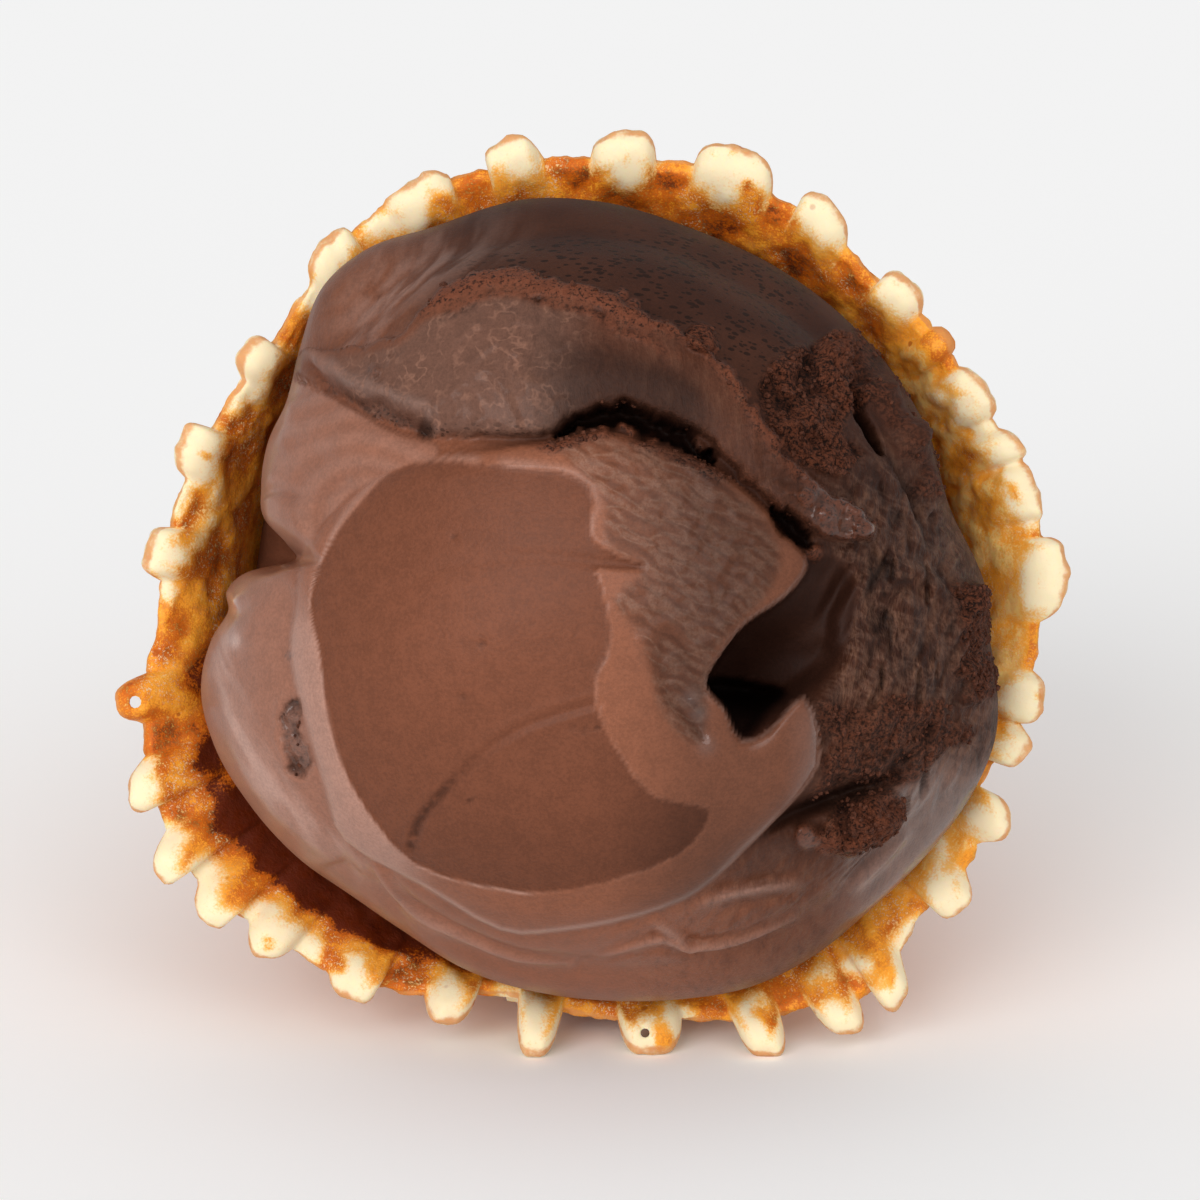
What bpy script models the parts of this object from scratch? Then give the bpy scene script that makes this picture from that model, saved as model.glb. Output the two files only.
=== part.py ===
"""Ice cream cone: a rolled waffle cone that holds one large scoop of chocolate ice cream.

The cone lies on its side, the mouth toward -Y and a little upward, the tip toward +Y.
Shapes are laid out in cone coordinates in millimetres: x to the right, y up, and h along
the axis from the tip out through the mouth, with zero at the middle of the rim plane.
The last step turns them into metres in the resting frame.
"""

import math

import bmesh
import bpy
import numpy as np
from mathutils.geometry import delaunay_2d_cdt

MM = 0.001

# Resting frame
LYING_ANGLE = math.radians(15.1)
MOUTH_X = 0.68
MOUTH_Y = -46.68
MOUTH_Z = 39.93

# Waffle cone
HALF_ANGLE = math.asin(0.25)
RIM_RADIUS = 38.2
WALL = 2.4
TIP_SLANT = 14.0
TIP_ROUNDING = 1.9
FLARE_BELOW_RIM = 10.0
FLARE_LEAD = 5.5
RIM_EDGE_HEIGHT = -2.2
RIM_EDGE_RISE = 0.5
NUB_EXTRA_THICKNESS = 1.3
LATTICE_PITCH = 10.0
LATTICE_RELIEF = 0.9
FLAP_ANGLE = 257.0
FLAP_STEP = 1.6
FLAP_TWIST = math.radians(38.0)

# Nubs on the rim: angle, reach, half width, lean, then the valley after it: angle, radius
RIM_NUBS = (
    (2.1, 42.6, 4.0, 0.6, 8.5, 40.6),
    (13.5, 41.1, 2.6, 0.0, 17.0, 40.4),
    (20.5, 40.6, 1.9, 0.0, 24.0, 39.4),
    (28.5, 40.3, 2.6, 0.0, 32.5, 39.0),
    (36.5, 39.9, 1.7, 0.0, 40.0, 38.9),
    (44.8, 40.3, 2.6, 0.6, 51.0, 38.7),
    (59.0, 41.6, 3.1, 0.8, 64.8, 39.9),
    (72.5, 42.7, 4.0, 0.2, 80.0, 40.2),
    (87.0, 42.5, 3.4, 0.0, 94.5, 40.0),
    (100.5, 42.5, 2.6, 0.6, 107.0, 40.3),
    (114.5, 41.6, 3.4, -0.6, 121.0, 40.4),
    (128.5, 41.0, 3.2, -0.4, 139.5, 38.1),
    (145.8, 39.8, 2.4, -0.6, 152.5, 38.3),
    (160.0, 40.8, 2.8, -0.6, 166.5, 39.4),
    (174.5, 41.6, 2.6, -0.2, 183.0, 40.4),
    (191.8, 44.8, 2.2, -0.4, 196.6, 43.6),
    (202.4, 46.4, 2.4, 0.8, 206.4, 44.6),
    (210.4, 47.5, 2.1, 1.2, 214.0, 44.7),
    (217.6, 46.5, 2.1, 1.2, 220.8, 43.8),
    (225.6, 44.9, 2.6, 0.6, 232.5, 42.0),
    (237.5, 42.8, 2.4, 0.8, 243.5, 40.2),
    (249.6, 41.2, 2.6, 0.6, 257.0, 37.4),
    (262.0, 41.95, 2.4, 0.0, 269.0, 38.2),
    (276.8, 41.67, 3.3, 0.0, 284.0, 39.7),
    (290.4, 44.22, 2.4, 0.0, 294.8, 41.6),
    (299.6, 45.5, 2.0, -0.2, 303.0, 43.4),
    (307.0, 45.9, 2.4, -0.8, 314.5, 41.0),
    (320.2, 43.6, 2.6, -0.9, 325.0, 41.2),
    (329.8, 42.5, 2.4, 0.9, 334.5, 38.6),
    (340.0, 41.2, 2.2, -0.6, 343.4, 40.0),
    (346.8, 41.5, 2.4, -0.4, 353.5, 40.0),
)

# Scoop
GAP = 0.35
EQUATOR_HEIGHT = 3.0
DOME_HEIGHT = 33.5
UNDERSIDE_DEPTH = 30.0
CONTACT_TOP = -4.0
CONTACT_BOTTOM = -14.0
PLUG_END = -131.0
SCOOP_OUTLINE = (
    (0.0, 34.6), (15.0, 32.2), (27.0, 32.8), (40.0, 33.0), (62.0, 33.4), (76.0, 33.9),
    (90.0, 35.3), (100.0, 36.1), (115.0, 36.3), (124.0, 37.4), (132.0, 37.1), (140.0, 34.9),
    (148.0, 33.0), (155.0, 32.7), (162.0, 31.8), (167.0, 30.7), (170.5, 28.3), (173.0, 27.4),
    (176.0, 31.6), (179.0, 33.3), (182.0, 33.2), (186.0, 34.8), (192.0, 36.4), (201.0, 36.9),
    (210.0, 36.4), (221.0, 35.6), (230.0, 34.7), (239.0, 34.6), (251.0, 35.4), (260.0, 35.7),
    (270.0, 36.0), (281.0, 36.6), (291.0, 37.3), (300.0, 37.3), (311.0, 36.9), (323.0, 37.2),
    (333.0, 37.6), (341.0, 37.4), (348.0, 36.2), (354.0, 35.0),
)

# Outlines on the scoop, as points of the straight-down view
VIEW_SCALE = 0.09
VIEW_CENTRE = (600.0, 597.0)
CAP_OUTLINE = (
    (302, 570), (300, 555), (320, 530), (350, 495), (390, 470), (430, 458), (500, 448),
    (560, 440), (600, 428), (650, 435), (705, 462), (740, 480), (770, 515), (790, 530),
    (805, 560), (810, 570), (790, 590), (760, 615), (735, 640), (715, 670), (708, 688),
    (725, 705), (740, 735), (765, 735), (790, 712), (803, 697), (815, 720), (820, 750),
    (805, 790), (780, 815), (745, 850), (700, 895), (660, 912), (620, 920), (560, 932),
    (500, 930), (475, 918), (420, 885), (375, 860), (345, 840), (325, 790), (305, 720),
    (292, 690), (290, 640), (295, 600),
)
CURL_CREST = (
    (318, 372), (340, 355), (401, 340), (442, 294), (475, 271), (520, 268), (560, 282),
    (600, 292), (625, 300), (640, 315), (690, 335), (715, 350), (720, 365), (740, 400),
    (765, 430), (790, 460), (810, 490), (850, 515), (872, 530),
)
CURL_FOOT = (
    (865, 542), (830, 545), (795, 520), (760, 490), (722, 462), (690, 432), (665, 417),
    (640, 410), (590, 414), (556, 430), (500, 440), (430, 440), (370, 425), (330, 400),
)
CREVICE = ((556, 431), (590, 421), (622, 412), (652, 416), (680, 430), (705, 450), (716, 465))
SECOND_CREVICE = ((772, 508), (788, 528), (804, 545))
CAVITY_SPINE = ((738, 712), (752, 690), (778, 650), (812, 605), (826, 560))
CREASE = ((412, 845), (420, 820), (440, 795), (470, 765), (500, 740), (540, 722), (597, 705))
LOBE_CREASE = ((268, 566), (290, 556), (303, 590), (296, 640))
LOWER_CREASE = ((700, 962), (745, 945), (815, 918), (870, 880))
UNDERCUT = ((768, 828), (800, 815), (850, 806), (898, 792))
RIGHT_RIDGE = ((856, 602), (880, 575), (920, 575), (948, 612), (965, 660), (968, 705))
LUMPS = (
    (850, 832, 3.0, 2.2), (882, 818, 2.2, 1.8), (805, 838, 1.4, 1.7), (886, 392, 2.0, 2.2),
    (842, 342, 2.2, 1.6), (868, 352, 1.8, 1.4), (932, 440, 1.6, 1.6), (972, 596, 1.5, 1.2),
    (706, 342, 1.3, 1.5), (628, 303, 1.2, 1.3), (842, 520, 2.0, 1.2), (236, 600, 0.9, 0.8),
)
FRONT_POINTS = 2500
SIDE_COLUMNS = 120


def smooth(value, low, high):
    """Rise smoothly from 0 to 1 while the value runs from low to high."""
    share = np.clip((value - low) / (high - low), 0.0, 1.0)
    return share * share * (3.0 - 2.0 * share)


def ring_curve(points, angles):
    """Periodic cubic through (degrees, value) points, read at angles in degrees."""
    at = np.array([point[0] for point in points])
    value = np.array([point[1] for point in points])
    at = np.concatenate((at[-2:] - 360.0, at, at[:2] + 360.0))
    value = np.concatenate((value[-2:], value, value[:2]))
    slope = np.gradient(value, at)
    turned = np.mod(np.asarray(angles, dtype=float), 360.0)
    index = np.clip(np.searchsorted(at, turned, side="right") - 1, 0, len(at) - 2)
    span = at[index + 1] - at[index]
    share = (turned - at[index]) / span
    square, cube = share**2, share**3
    return (
        (2 * cube - 3 * square + 1) * value[index]
        + (cube - 2 * square + share) * span * slope[index]
        + (3 * square - 2 * cube) * value[index + 1]
        + (cube - square) * span * slope[index + 1]
    )


def noise(x, y, size, seed):
    """Smooth value noise between -1 and 1 over the plan, one lattice step per size."""
    grid_x, grid_y = np.floor(x / size), np.floor(y / size)
    share_x, share_y = smooth(x / size - grid_x, 0, 1), smooth(y / size - grid_y, 0, 1)

    def corner(step_x, step_y):
        mix = (grid_x + step_x) * 127.1 + (grid_y + step_y) * 311.7 + seed * 74.7
        value = np.sin(mix) * 43758.5453
        return 2.0 * (value - np.floor(value)) - 1.0

    low = corner(0, 0) * (1 - share_x) + corner(1, 0) * share_x
    high = corner(0, 1) * (1 - share_x) + corner(1, 1) * share_x
    return low * (1 - share_y) + high * share_y


def plan(points):
    """Turn points of the straight-down view into plan coordinates in millimetres."""
    spots = np.array(points, dtype=float)[:, :2]
    across = (spots[:, 0] - VIEW_CENTRE[0]) * VIEW_SCALE
    up = (VIEW_CENTRE[1] - spots[:, 1]) * VIEW_SCALE
    return np.stack((across, up), axis=1)


def line_distance(x, y, line, closed=False):
    """Distance from each place to a polyline, and how far along it the nearest point is."""
    ends = np.roll(line, -1, axis=0) if closed else line[1:]
    starts = line if closed else line[:-1]
    best = np.full(np.shape(x), 1e9)
    along = np.zeros(np.shape(x))
    for number, (start, end) in enumerate(zip(starts, ends)):
        run = end - start
        share = ((x - start[0]) * run[0] + (y - start[1]) * run[1]) / (run @ run)
        share = np.clip(share, 0.0, 1.0)
        distance = np.hypot(x - start[0] - share * run[0], y - start[1] - share * run[1])
        nearer = distance < best
        along = np.where(nearer, (number + share) / len(starts), along)
        best = np.where(nearer, distance, best)
    return best, along


def inside_distance(x, y, outline):
    """Distance to a closed outline, positive inside it and negative outside."""
    distance, _ = line_distance(x, y, outline, closed=True)
    inside = np.zeros(np.shape(x), dtype=bool)
    for start, end in zip(outline, np.roll(outline, -1, axis=0)):
        if start[1] == end[1]:
            continue
        crosses = (start[1] > y) != (end[1] > y)
        where = start[0] + (y - start[1]) / (end[1] - start[1]) * (end[0] - start[0])
        inside ^= crosses & (x < where)
    return np.where(inside, distance, -distance)


def rim_nub_share(angles):
    """How far each rim angle, in degrees, is up a nub: share, reach and lean."""
    valleys = sorted((nub[4], nub[5]) for nub in RIM_NUBS)
    valley = ring_curve(valleys, angles)
    share = np.zeros(np.shape(angles))
    reach = valley.copy()
    lean = np.zeros(np.shape(angles))
    for at, tip, half_width, tip_lean, _, _ in RIM_NUBS:
        away = (np.asarray(angles) - at + 180.0) % 360.0 - 180.0
        across = np.abs(np.radians(away)) * tip / half_width
        finger = np.clip(1.0 - across**2, 0.0, 1.0) ** 0.7
        rise = tip - ring_curve(valleys, np.array([at]))[0]
        reach = np.maximum(reach, valley + rise * finger)
        share = np.maximum(share, finger)
        lean = lean + tip_lean * finger
    return share, reach, lean


def rim_section(angles, way, side):
    """Point of the flared rim: way 0 at its foot to 1 at the edge, side -1 inner to 1 outer."""
    share, reach, lean = rim_nub_share(angles)
    thick_end = WALL + NUB_EXTRA_THICKNESS * share
    foot_h = -FLARE_BELOW_RIM
    apex = -RIM_RADIUS / math.tan(HALF_ANGLE)
    foot_r = (foot_h - apex) * math.tan(HALF_ANGLE) - 0.5 * WALL / math.cos(HALF_ANGLE)
    lead_r = foot_r + FLARE_LEAD * math.sin(HALF_ANGLE)
    lead_h = foot_h + FLARE_LEAD * math.cos(HALF_ANGLE)
    valley = ring_curve(sorted((nub[4], nub[5]) for nub in RIM_NUBS), angles)
    end_r = reach - 0.5 * thick_end
    end_h = RIM_EDGE_HEIGHT + RIM_EDGE_RISE * (reach - valley)
    low, mid, high = (1 - way) ** 2, 2 * way * (1 - way), way**2
    radius = low * foot_r + mid * lead_r + high * end_r
    height = low * foot_h + mid * lead_h + high * end_h
    run_r = 2 * (1 - way) * (lead_r - foot_r) + 2 * way * (end_r - lead_r)
    run_h = 2 * (1 - way) * (lead_h - foot_h) + 2 * way * (end_h - lead_h)
    length = np.hypot(run_r, run_h)
    run_r, run_h = run_r / length, run_h / length
    half = 0.5 * (WALL + (thick_end - WALL) * way**2)
    turn = np.radians(np.asarray(angles)) + lean * way**3 / reach
    return radius, height, run_r, run_h, half, turn


def rim_point(angles, way, side, crown=0.0):
    """Cone coordinates on the flared rim; crown turns from the outer face over the edge."""
    radius, height, run_r, run_h, half, turn = rim_section(angles, way, side)
    out = side * math.cos(crown)
    up = math.sin(crown)
    radius = radius + half * (run_h * out + run_r * up)
    height = height + half * (-run_r * out + run_h * up)
    return np.stack((radius * np.cos(turn), radius * np.sin(turn), height), axis=-1)


def inner_wall_radius(angles, heights):
    """Radius of the cone's inner face at each angle in degrees and each height."""
    apex = -RIM_RADIUS / math.tan(HALF_ANGLE)
    straight = (heights - apex) * math.tan(HALF_ANGLE) - WALL / math.cos(HALF_ANGLE)
    result = np.array(straight, dtype=float)
    for row in np.ndindex(np.shape(result)):
        height = heights[row]
        if height <= -FLARE_BELOW_RIM:
            continue
        ways = np.linspace(0.0, 1.0, 15)
        points = rim_point(np.full(15, angles[row]), ways, -1.0)
        radii = np.hypot(points[:, 0], points[:, 1])
        beyond = (height - points[-1, 2]) * 2.0 if height > points[-1, 2] else 0.0
        result[row] = np.interp(height, points[:, 2], radii) + beyond
    return result


def outer_sheet_point(slant, turn, relief):
    """Point on the outside of the straight cone; the turn is measured from the flap edge."""
    apex = -RIM_RADIUS / math.tan(HALF_ANGLE)
    foot_slant = (-FLARE_BELOW_RIM - apex) / math.cos(HALF_ANGLE)
    grown = smooth(slant, TIP_SLANT, 3.0 * TIP_SLANT)
    outward = grown * (FLAP_STEP * (1.0 - turn / (2 * math.pi)) + relief)
    radius = slant * math.sin(HALF_ANGLE) + outward * math.cos(HALF_ANGLE)
    height = apex + slant * math.cos(HALF_ANGLE) - outward * math.sin(HALF_ANGLE)
    twist = FLAP_TWIST * (1.0 - slant / foot_slant)
    angle = math.radians(FLAP_ANGLE) + turn + twist
    return np.stack((radius * np.cos(angle), radius * np.sin(angle), height), axis=-1)


def rim_columns():
    """Angles of the rim's columns in degrees past the flap edge: five on each nub, one between."""
    angles = []
    for at, tip, half_width, _, valley_at, _ in RIM_NUBS:
        reach = math.degrees(half_width / tip)
        for share in (-0.98, -0.6, 0.0, 0.6, 0.98):
            angles.append((at + share * reach - FLAP_ANGLE) % 360.0)
        angles.append((valley_at - FLAP_ANGLE) % 360.0)
    angles = sorted(angles)
    kept = [angles[0]]
    for angle in angles[1:]:
        if angle - kept[-1] > 0.45:
            kept.append(angle)
    return np.array(kept)


def to_world(points):
    """Turn cone coordinates in millimetres into metres in the resting frame."""
    points = np.asarray(points, dtype=float)
    sine, cosine = math.sin(LYING_ANGLE), math.cos(LYING_ANGLE)
    x = MOUTH_X + points[:, 0]
    y = MOUTH_Y + points[:, 1] * sine - points[:, 2] * cosine
    z = MOUTH_Z + points[:, 1] * cosine + points[:, 2] * sine
    return np.stack((x, y, z), axis=1) * MM


class Patchwork:
    """Collects patches of points and faces, which are joined where their points meet."""

    def __init__(self):
        self.points = []
        self.faces = []

    def add(self, points, faces):
        """Add one patch, its faces numbered from zero."""
        start = sum(len(block) for block in self.points)
        self.points.append(np.asarray(points, dtype=float))
        self.faces.extend(tuple(start + index for index in face) for face in faces)

    def add_rings(self, rings, closed=True):
        """Add a grid of quads between rings that have the same number of points."""
        count = len(rings[0])
        last = count if closed else count - 1
        faces = []
        for row in range(len(rings) - 1):
            for column in range(last):
                here = row * count + column
                beside = row * count + (column + 1) % count
                faces.append((here, beside, beside + count, here + count))
        self.add(np.concatenate(rings), faces)

    def add_zip(self, outer, inner):
        """Join two closed rings of unlike point counts with triangles, by their angles."""
        turns = [np.unwrap(np.arctan2(ring[:, 1], ring[:, 0])) for ring in (outer, inner)]
        shift = round((turns[0][0] - turns[1][0]) / (2 * math.pi)) * 2 * math.pi
        turns[1] = turns[1] + shift
        here, there, faces = 0, 0, []
        while here < len(outer) or there < len(inner):
            next_here = turns[0][here + 1] if here + 1 < len(outer) else turns[0][0] + 2 * math.pi
            next_there = turns[1][there + 1] if there + 1 < len(inner) else turns[1][0] + 2 * math.pi
            a, b = here % len(outer), len(outer) + there % len(inner)
            if there >= len(inner) or (here < len(outer) and next_here <= next_there):
                faces.append((a, (here + 1) % len(outer), b))
                here += 1
            else:
                faces.append((a, len(outer) + (there + 1) % len(inner), b))
                there += 1
        self.add(np.concatenate((outer, inner)), faces)

    def add_fan(self, ring, centre):
        """Close a ring with triangles to one point."""
        count = len(ring)
        faces = [(index, (index + 1) % count, count) for index in range(count)]
        self.add(np.concatenate((ring, [centre])), faces)

    def build(self, name, color, roughness, rest_cut):
        """Make the closed mesh object, cut flat where it rests on the floor plane."""
        mesh = bpy.data.meshes.new(name)
        mesh.from_pydata(to_world(np.concatenate(self.points)).tolist(), [], self.faces)
        body = bmesh.new()
        body.from_mesh(mesh)
        bmesh.ops.remove_doubles(body, verts=body.verts, dist=0.002 * MM)
        bmesh.ops.dissolve_degenerate(body, edges=body.edges, dist=0.001 * MM)
        if rest_cut:
            parts = list(body.verts) + list(body.edges) + list(body.faces)
            bmesh.ops.bisect_plane(
                body, geom=parts, plane_co=(0, 0, 0), plane_no=(0, 0, -1), clear_outer=True
            )
            rims = [edge for edge in body.edges if edge.is_boundary]
            bmesh.ops.edgeloop_fill(body, edges=rims)
        bmesh.ops.triangulate(body, faces=body.faces)
        bmesh.ops.recalc_face_normals(body, faces=body.faces)
        body.to_mesh(mesh)
        body.free()
        part = bpy.data.objects.new(name, mesh)
        bpy.context.scene.collection.objects.link(part)
        part.data.materials.append(plain_material(name + "_material", color, roughness))
        return part


def plain_material(name, color, roughness):
    """Principled material of one colour."""
    material = bpy.data.materials.new(name)
    material.use_nodes = True
    shader = material.node_tree.nodes["Principled BSDF"]
    shader.inputs["Base Color"].default_value = (*color, 1.0)
    shader.inputs["Roughness"].default_value = roughness
    return material


def lattice_sheet(columns):
    """Outer sheet of the cone as flat points and triangles, laid on the waffle lattice."""
    apex = -RIM_RADIUS / math.tan(HALF_ANGLE)
    top = (-FLARE_BELOW_RIM - apex) / math.cos(HALF_ANGLE)
    step = LATTICE_PITCH / 3.0
    tip_turns = np.linspace(0.0, math.pi / 2, 13)
    low_edge = np.arange(math.ceil((TIP_SLANT + 1.0) / step), math.floor((top - 1.0) / step) + 1)
    boundary = [(top * math.cos(turn), top * math.sin(turn)) for turn in np.radians(columns) / 4]
    boundary.append((0.0, top))
    boundary.extend((0.0, step * k) for k in low_edge[::-1])
    boundary.extend((TIP_SLANT * math.cos(t), TIP_SLANT * math.sin(t)) for t in tip_turns[::-1])
    boundary.extend((step * k, 0.0) for k in low_edge)
    points = list(boundary)
    for i in range(1, int(top / step) + 1):
        for j in range(1, int(top / step) + 1):
            if TIP_SLANT + 1.0 < step * math.hypot(i, j) < top - 1.0:
                points.append((step * i, step * j))
    edges = [(k, (k + 1) % len(boundary)) for k in range(len(boundary))]
    result = delaunay_2d_cdt(points, edges, [list(range(len(boundary)))], 1, 1e-4, False)
    flat = np.array([(spot[0], spot[1]) for spot in result[0]])
    beyond_tip = np.hypot(flat[:, 0], flat[:, 1]) > TIP_SLANT + 0.01
    return flat, [tuple(face) for face in result[2] if any(beyond_tip[k] for k in face)]


def build_waffle_cone():
    """Rolled waffle sheet with raised lattice, a flap edge and a flared rim of rounded nubs."""
    work = Patchwork()
    columns = rim_columns()
    flat, faces = lattice_sheet(columns)
    slant = np.hypot(flat[:, 0], flat[:, 1])
    turn = 4.0 * np.arctan2(flat[:, 1], flat[:, 0])
    step = LATTICE_PITCH / 3.0
    row_a, row_b = np.round(flat[:, 0] / step), np.round(flat[:, 1] / step)
    on_grid = np.hypot(flat[:, 0] - row_a * step, flat[:, 1] - row_b * step) < 0.01
    crest = on_grid & ((row_a % 3 == 0) | (row_b % 3 == 0))
    relief = np.where(crest, LATTICE_RELIEF, 0.0)
    work.add(outer_sheet_point(slant, turn, relief), faces)

    apex = -RIM_RADIUS / math.tan(HALF_ANGLE)
    top = (-FLARE_BELOW_RIM - apex) / math.cos(HALF_ANGLE)
    low_edge = np.arange(math.ceil((TIP_SLANT + 1.0) / step), math.floor((top - 1.0) / step) + 1)
    seam = np.concatenate(([TIP_SLANT], low_edge * step, [top]))
    seam_relief = np.where(np.concatenate(([0], low_edge, [0])) > 0, LATTICE_RELIEF, 0.0)
    high_side = outer_sheet_point(seam, np.zeros(len(seam)), seam_relief)
    low_side = outer_sheet_point(seam, np.full(len(seam), 2 * math.pi), seam_relief)
    work.add_rings([high_side, low_side], closed=False)

    angles = FLAP_ANGLE + np.append(columns, 360.0)
    ways = (0.0, 0.4, 0.75, 1.0)
    outer_rows = [outer_sheet_point(np.full(len(angles), top), np.radians(angles - FLAP_ANGLE), 0.0)]
    for way in ways[1:]:
        row = rim_point(angles, way, 1.0)
        spiral = FLAP_STEP * (1.0 - (angles - FLAP_ANGLE) / 360.0) * (1.0 - way)
        out = row[:, :2] / np.hypot(row[:, 0], row[:, 1])[:, None]
        row[:, :2] += out * spiral[:, None]
        outer_rows.append(row)
    work.add_rings(outer_rows, closed=False)
    seam_column = np.array([row[0] for row in outer_rows])
    low_column = np.array([row[-1] for row in outer_rows])
    work.add_rings([seam_column, low_column], closed=False)

    ring_angles = angles[:-1]
    crown = [rim_point(ring_angles, 1.0, 1.0)]
    for bend in (35.0, 100.0):
        crown.append(rim_point(ring_angles, 1.0, 1.0, math.radians(bend)))
    crown.append(rim_point(ring_angles, 1.0, -1.0))
    work.add_rings(crown)
    inner_rows = [rim_point(ring_angles, way, -1.0) for way in ways[::-1]]
    work.add_rings(inner_rows)

    previous = inner_rows[-1]
    for height, count in ((-20.0, 60), (-50.0, 60), (-90.0, 40), (-120.0, 24), (-132.0, 12)):
        ring_turns = np.radians(FLAP_ANGLE) + np.arange(count) * 2 * math.pi / count
        radius = (height - apex) * math.tan(HALF_ANGLE) - WALL / math.cos(HALF_ANGLE)
        ring = np.stack(
            (radius * np.cos(ring_turns), radius * np.sin(ring_turns), np.full(count, height)), 1
        )
        work.add_zip(previous, ring)
        previous = ring
    work.add_fan(previous, (0.0, 0.0, -133.5))

    tip_turns = np.linspace(0.0, 2 * math.pi, 13)[:-1]
    tip_ring = outer_sheet_point(np.full(12, TIP_SLANT), tip_turns, 0.0)
    tip_low = tip_ring.copy()
    tip_low[:, :2] *= 0.6
    tip_low[:, 2] -= 0.75 * TIP_ROUNDING
    work.add_rings([tip_ring, tip_low])
    work.add_fan(tip_low, (0.0, 0.0, tip_ring[0, 2] - TIP_ROUNDING))
    return work.build("waffle_cone", (0.62, 0.30, 0.09), 0.7, rest_cut=True)


def scoop_relief(x, y):
    """Height of the scoop's layers, hollows and lumps over the plain dome."""
    cap = inside_distance(x, y, plan(CAP_OUTLINE))
    curl_outline = plan(CURL_CREST + CURL_FOOT)
    curl = inside_distance(x, y, curl_outline)
    crest, _ = line_distance(x, y, plan(CURL_CREST))
    foot, _ = line_distance(x, y, plan(CURL_FOOT))
    down_curl = crest / (crest + foot + 1e-6)
    on_cap = smooth(cap, 0.0, 1.6)
    on_curl = smooth(curl, -0.4, 1.4)

    ground = -1.6 * smooth(-cap, 0.0, 5.0)
    ground = ground + 0.45 * noise(x, y, 6.0, 3)
    right = smooth(x, 17.0, 24.0) * smooth(y, -24.0, -14.0) * smooth(-y, -16.0, -6.0)
    ground = ground + 0.8 * right
    ridge, _ = line_distance(x, y, plan(RIGHT_RIDGE))
    ground = ground + 1.1 * np.exp(-((ridge / 1.6) ** 2))
    rough = smooth(x, 14.0, 20.0) * smooth(y, -22.0, 12.0) * (1 - smooth(y, 25.0, 31.0))
    ground = ground + 0.5 * rough * noise(x, y, 2.2, 5)

    roll = 3.2 * np.sqrt(np.clip(1.0 - down_curl**2.2, 0.0, 1.0)) + 0.3
    relief = ground * (1 - on_curl) + roll * on_curl
    cap_top = 1.9 + 0.25 * noise(x, y, 12.0, 9)
    relief = relief * (1 - on_cap) + cap_top * on_cap

    for line, depth, width in ((CREVICE, 4.6, 0.85), (SECOND_CREVICE, 3.0, 0.8)):
        away, _ = line_distance(x, y, plan(line))
        relief = relief - depth * np.exp(-((away / width) ** 2))
    away, along = line_distance(x, y, plan(CAVITY_SPINE))
    wide = 2.4 + 2.4 * along
    deep = 13.0 - 9.0 * along
    relief = relief - deep * np.exp(-((away / wide) ** 2)) * (1 - smooth(cap, -0.6, 0.4))
    for line, depth, width in (
        (CREASE, 0.35, 0.7), (LOBE_CREASE, 1.6, 1.1), (LOWER_CREASE, 0.8, 0.9), (UNDERCUT, 2.0, 1.2),
    ):
        away, _ = line_distance(x, y, plan(line))
        relief = relief - depth * np.exp(-((away / width) ** 2))
    spots = plan(LUMPS)
    for (_, _, radius, height), spot in zip(LUMPS, spots):
        away = np.hypot(x - spot[0], y - spot[1]) / radius
        relief = relief + height * np.sqrt(np.clip(1.0 - away**2, 0.0, 1.0)) * smooth(1 - away, 0, 0.4)
    return relief


def scoop_front_point(x, y, lean):
    """Point of the scoop's top side over plan position x, y; lean is 0 at the crown, 1 at the side."""
    turn = np.degrees(np.arctan2(y, x))
    share = np.clip(np.hypot(x, y) / ring_curve(SCOOP_OUTLINE, turn), 0.0, 1.0)
    height = EQUATOR_HEIGHT + DOME_HEIGHT * np.sqrt(1.0 - share**2)
    raised = scoop_relief(x, y) * (1.0 - smooth(share, 0.9, 0.995))
    sideways = smooth(share, 0.8, 0.98)
    out = raised * sideways
    far = np.hypot(x, y) + 1e-9
    return np.stack(
        (x + out * x / far, y + out * y / far, height + raised * (1.0 - 0.7 * sideways)), axis=-1
    )


def front_layout():
    """Plan positions on the scoop's top side: an even spread and rows along the outlines."""
    count = np.arange(FRONT_POINTS) + 0.5
    tilt = np.sqrt(count / FRONT_POINTS) * math.radians(86.0)
    turn = np.degrees(count * math.pi * (3.0 - math.sqrt(5.0)))
    radius = ring_curve(SCOOP_OUTLINE, turn) * np.sin(tilt)
    spread = np.stack((radius * np.cos(np.radians(turn)), radius * np.sin(np.radians(turn))), 1)
    rows = []
    for line, closed, offsets in (
        (CAP_OUTLINE, True, (0.0, 1.4)), (CURL_CREST, False, (-0.5, 1.2)), (CREVICE, False, (0.0,)),
    ):
        spots = plan(line)
        ends = np.roll(spots, -1, axis=0) if closed else spots[1:]
        for start, end in zip(spots, ends):
            run = end - start
            length = math.hypot(*run)
            side = np.array((run[1], -run[0])) / length
            for part in np.arange(0.0, 1.0, 1.2 / max(length, 1.2)):
                for offset in offsets:
                    rows.append(start + run * part + side * offset)
    rows = np.array(rows)
    kept = []
    for spot in rows:
        if all(math.hypot(*(spot - other)) > 0.55 for other in kept):
            kept.append(spot)
    rows = np.array(kept)
    gaps = np.hypot(spread[:, None, 0] - rows[None, :, 0], spread[:, None, 1] - rows[None, :, 1])
    return np.concatenate((spread[gaps.min(axis=1) > 0.75], rows))


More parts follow.
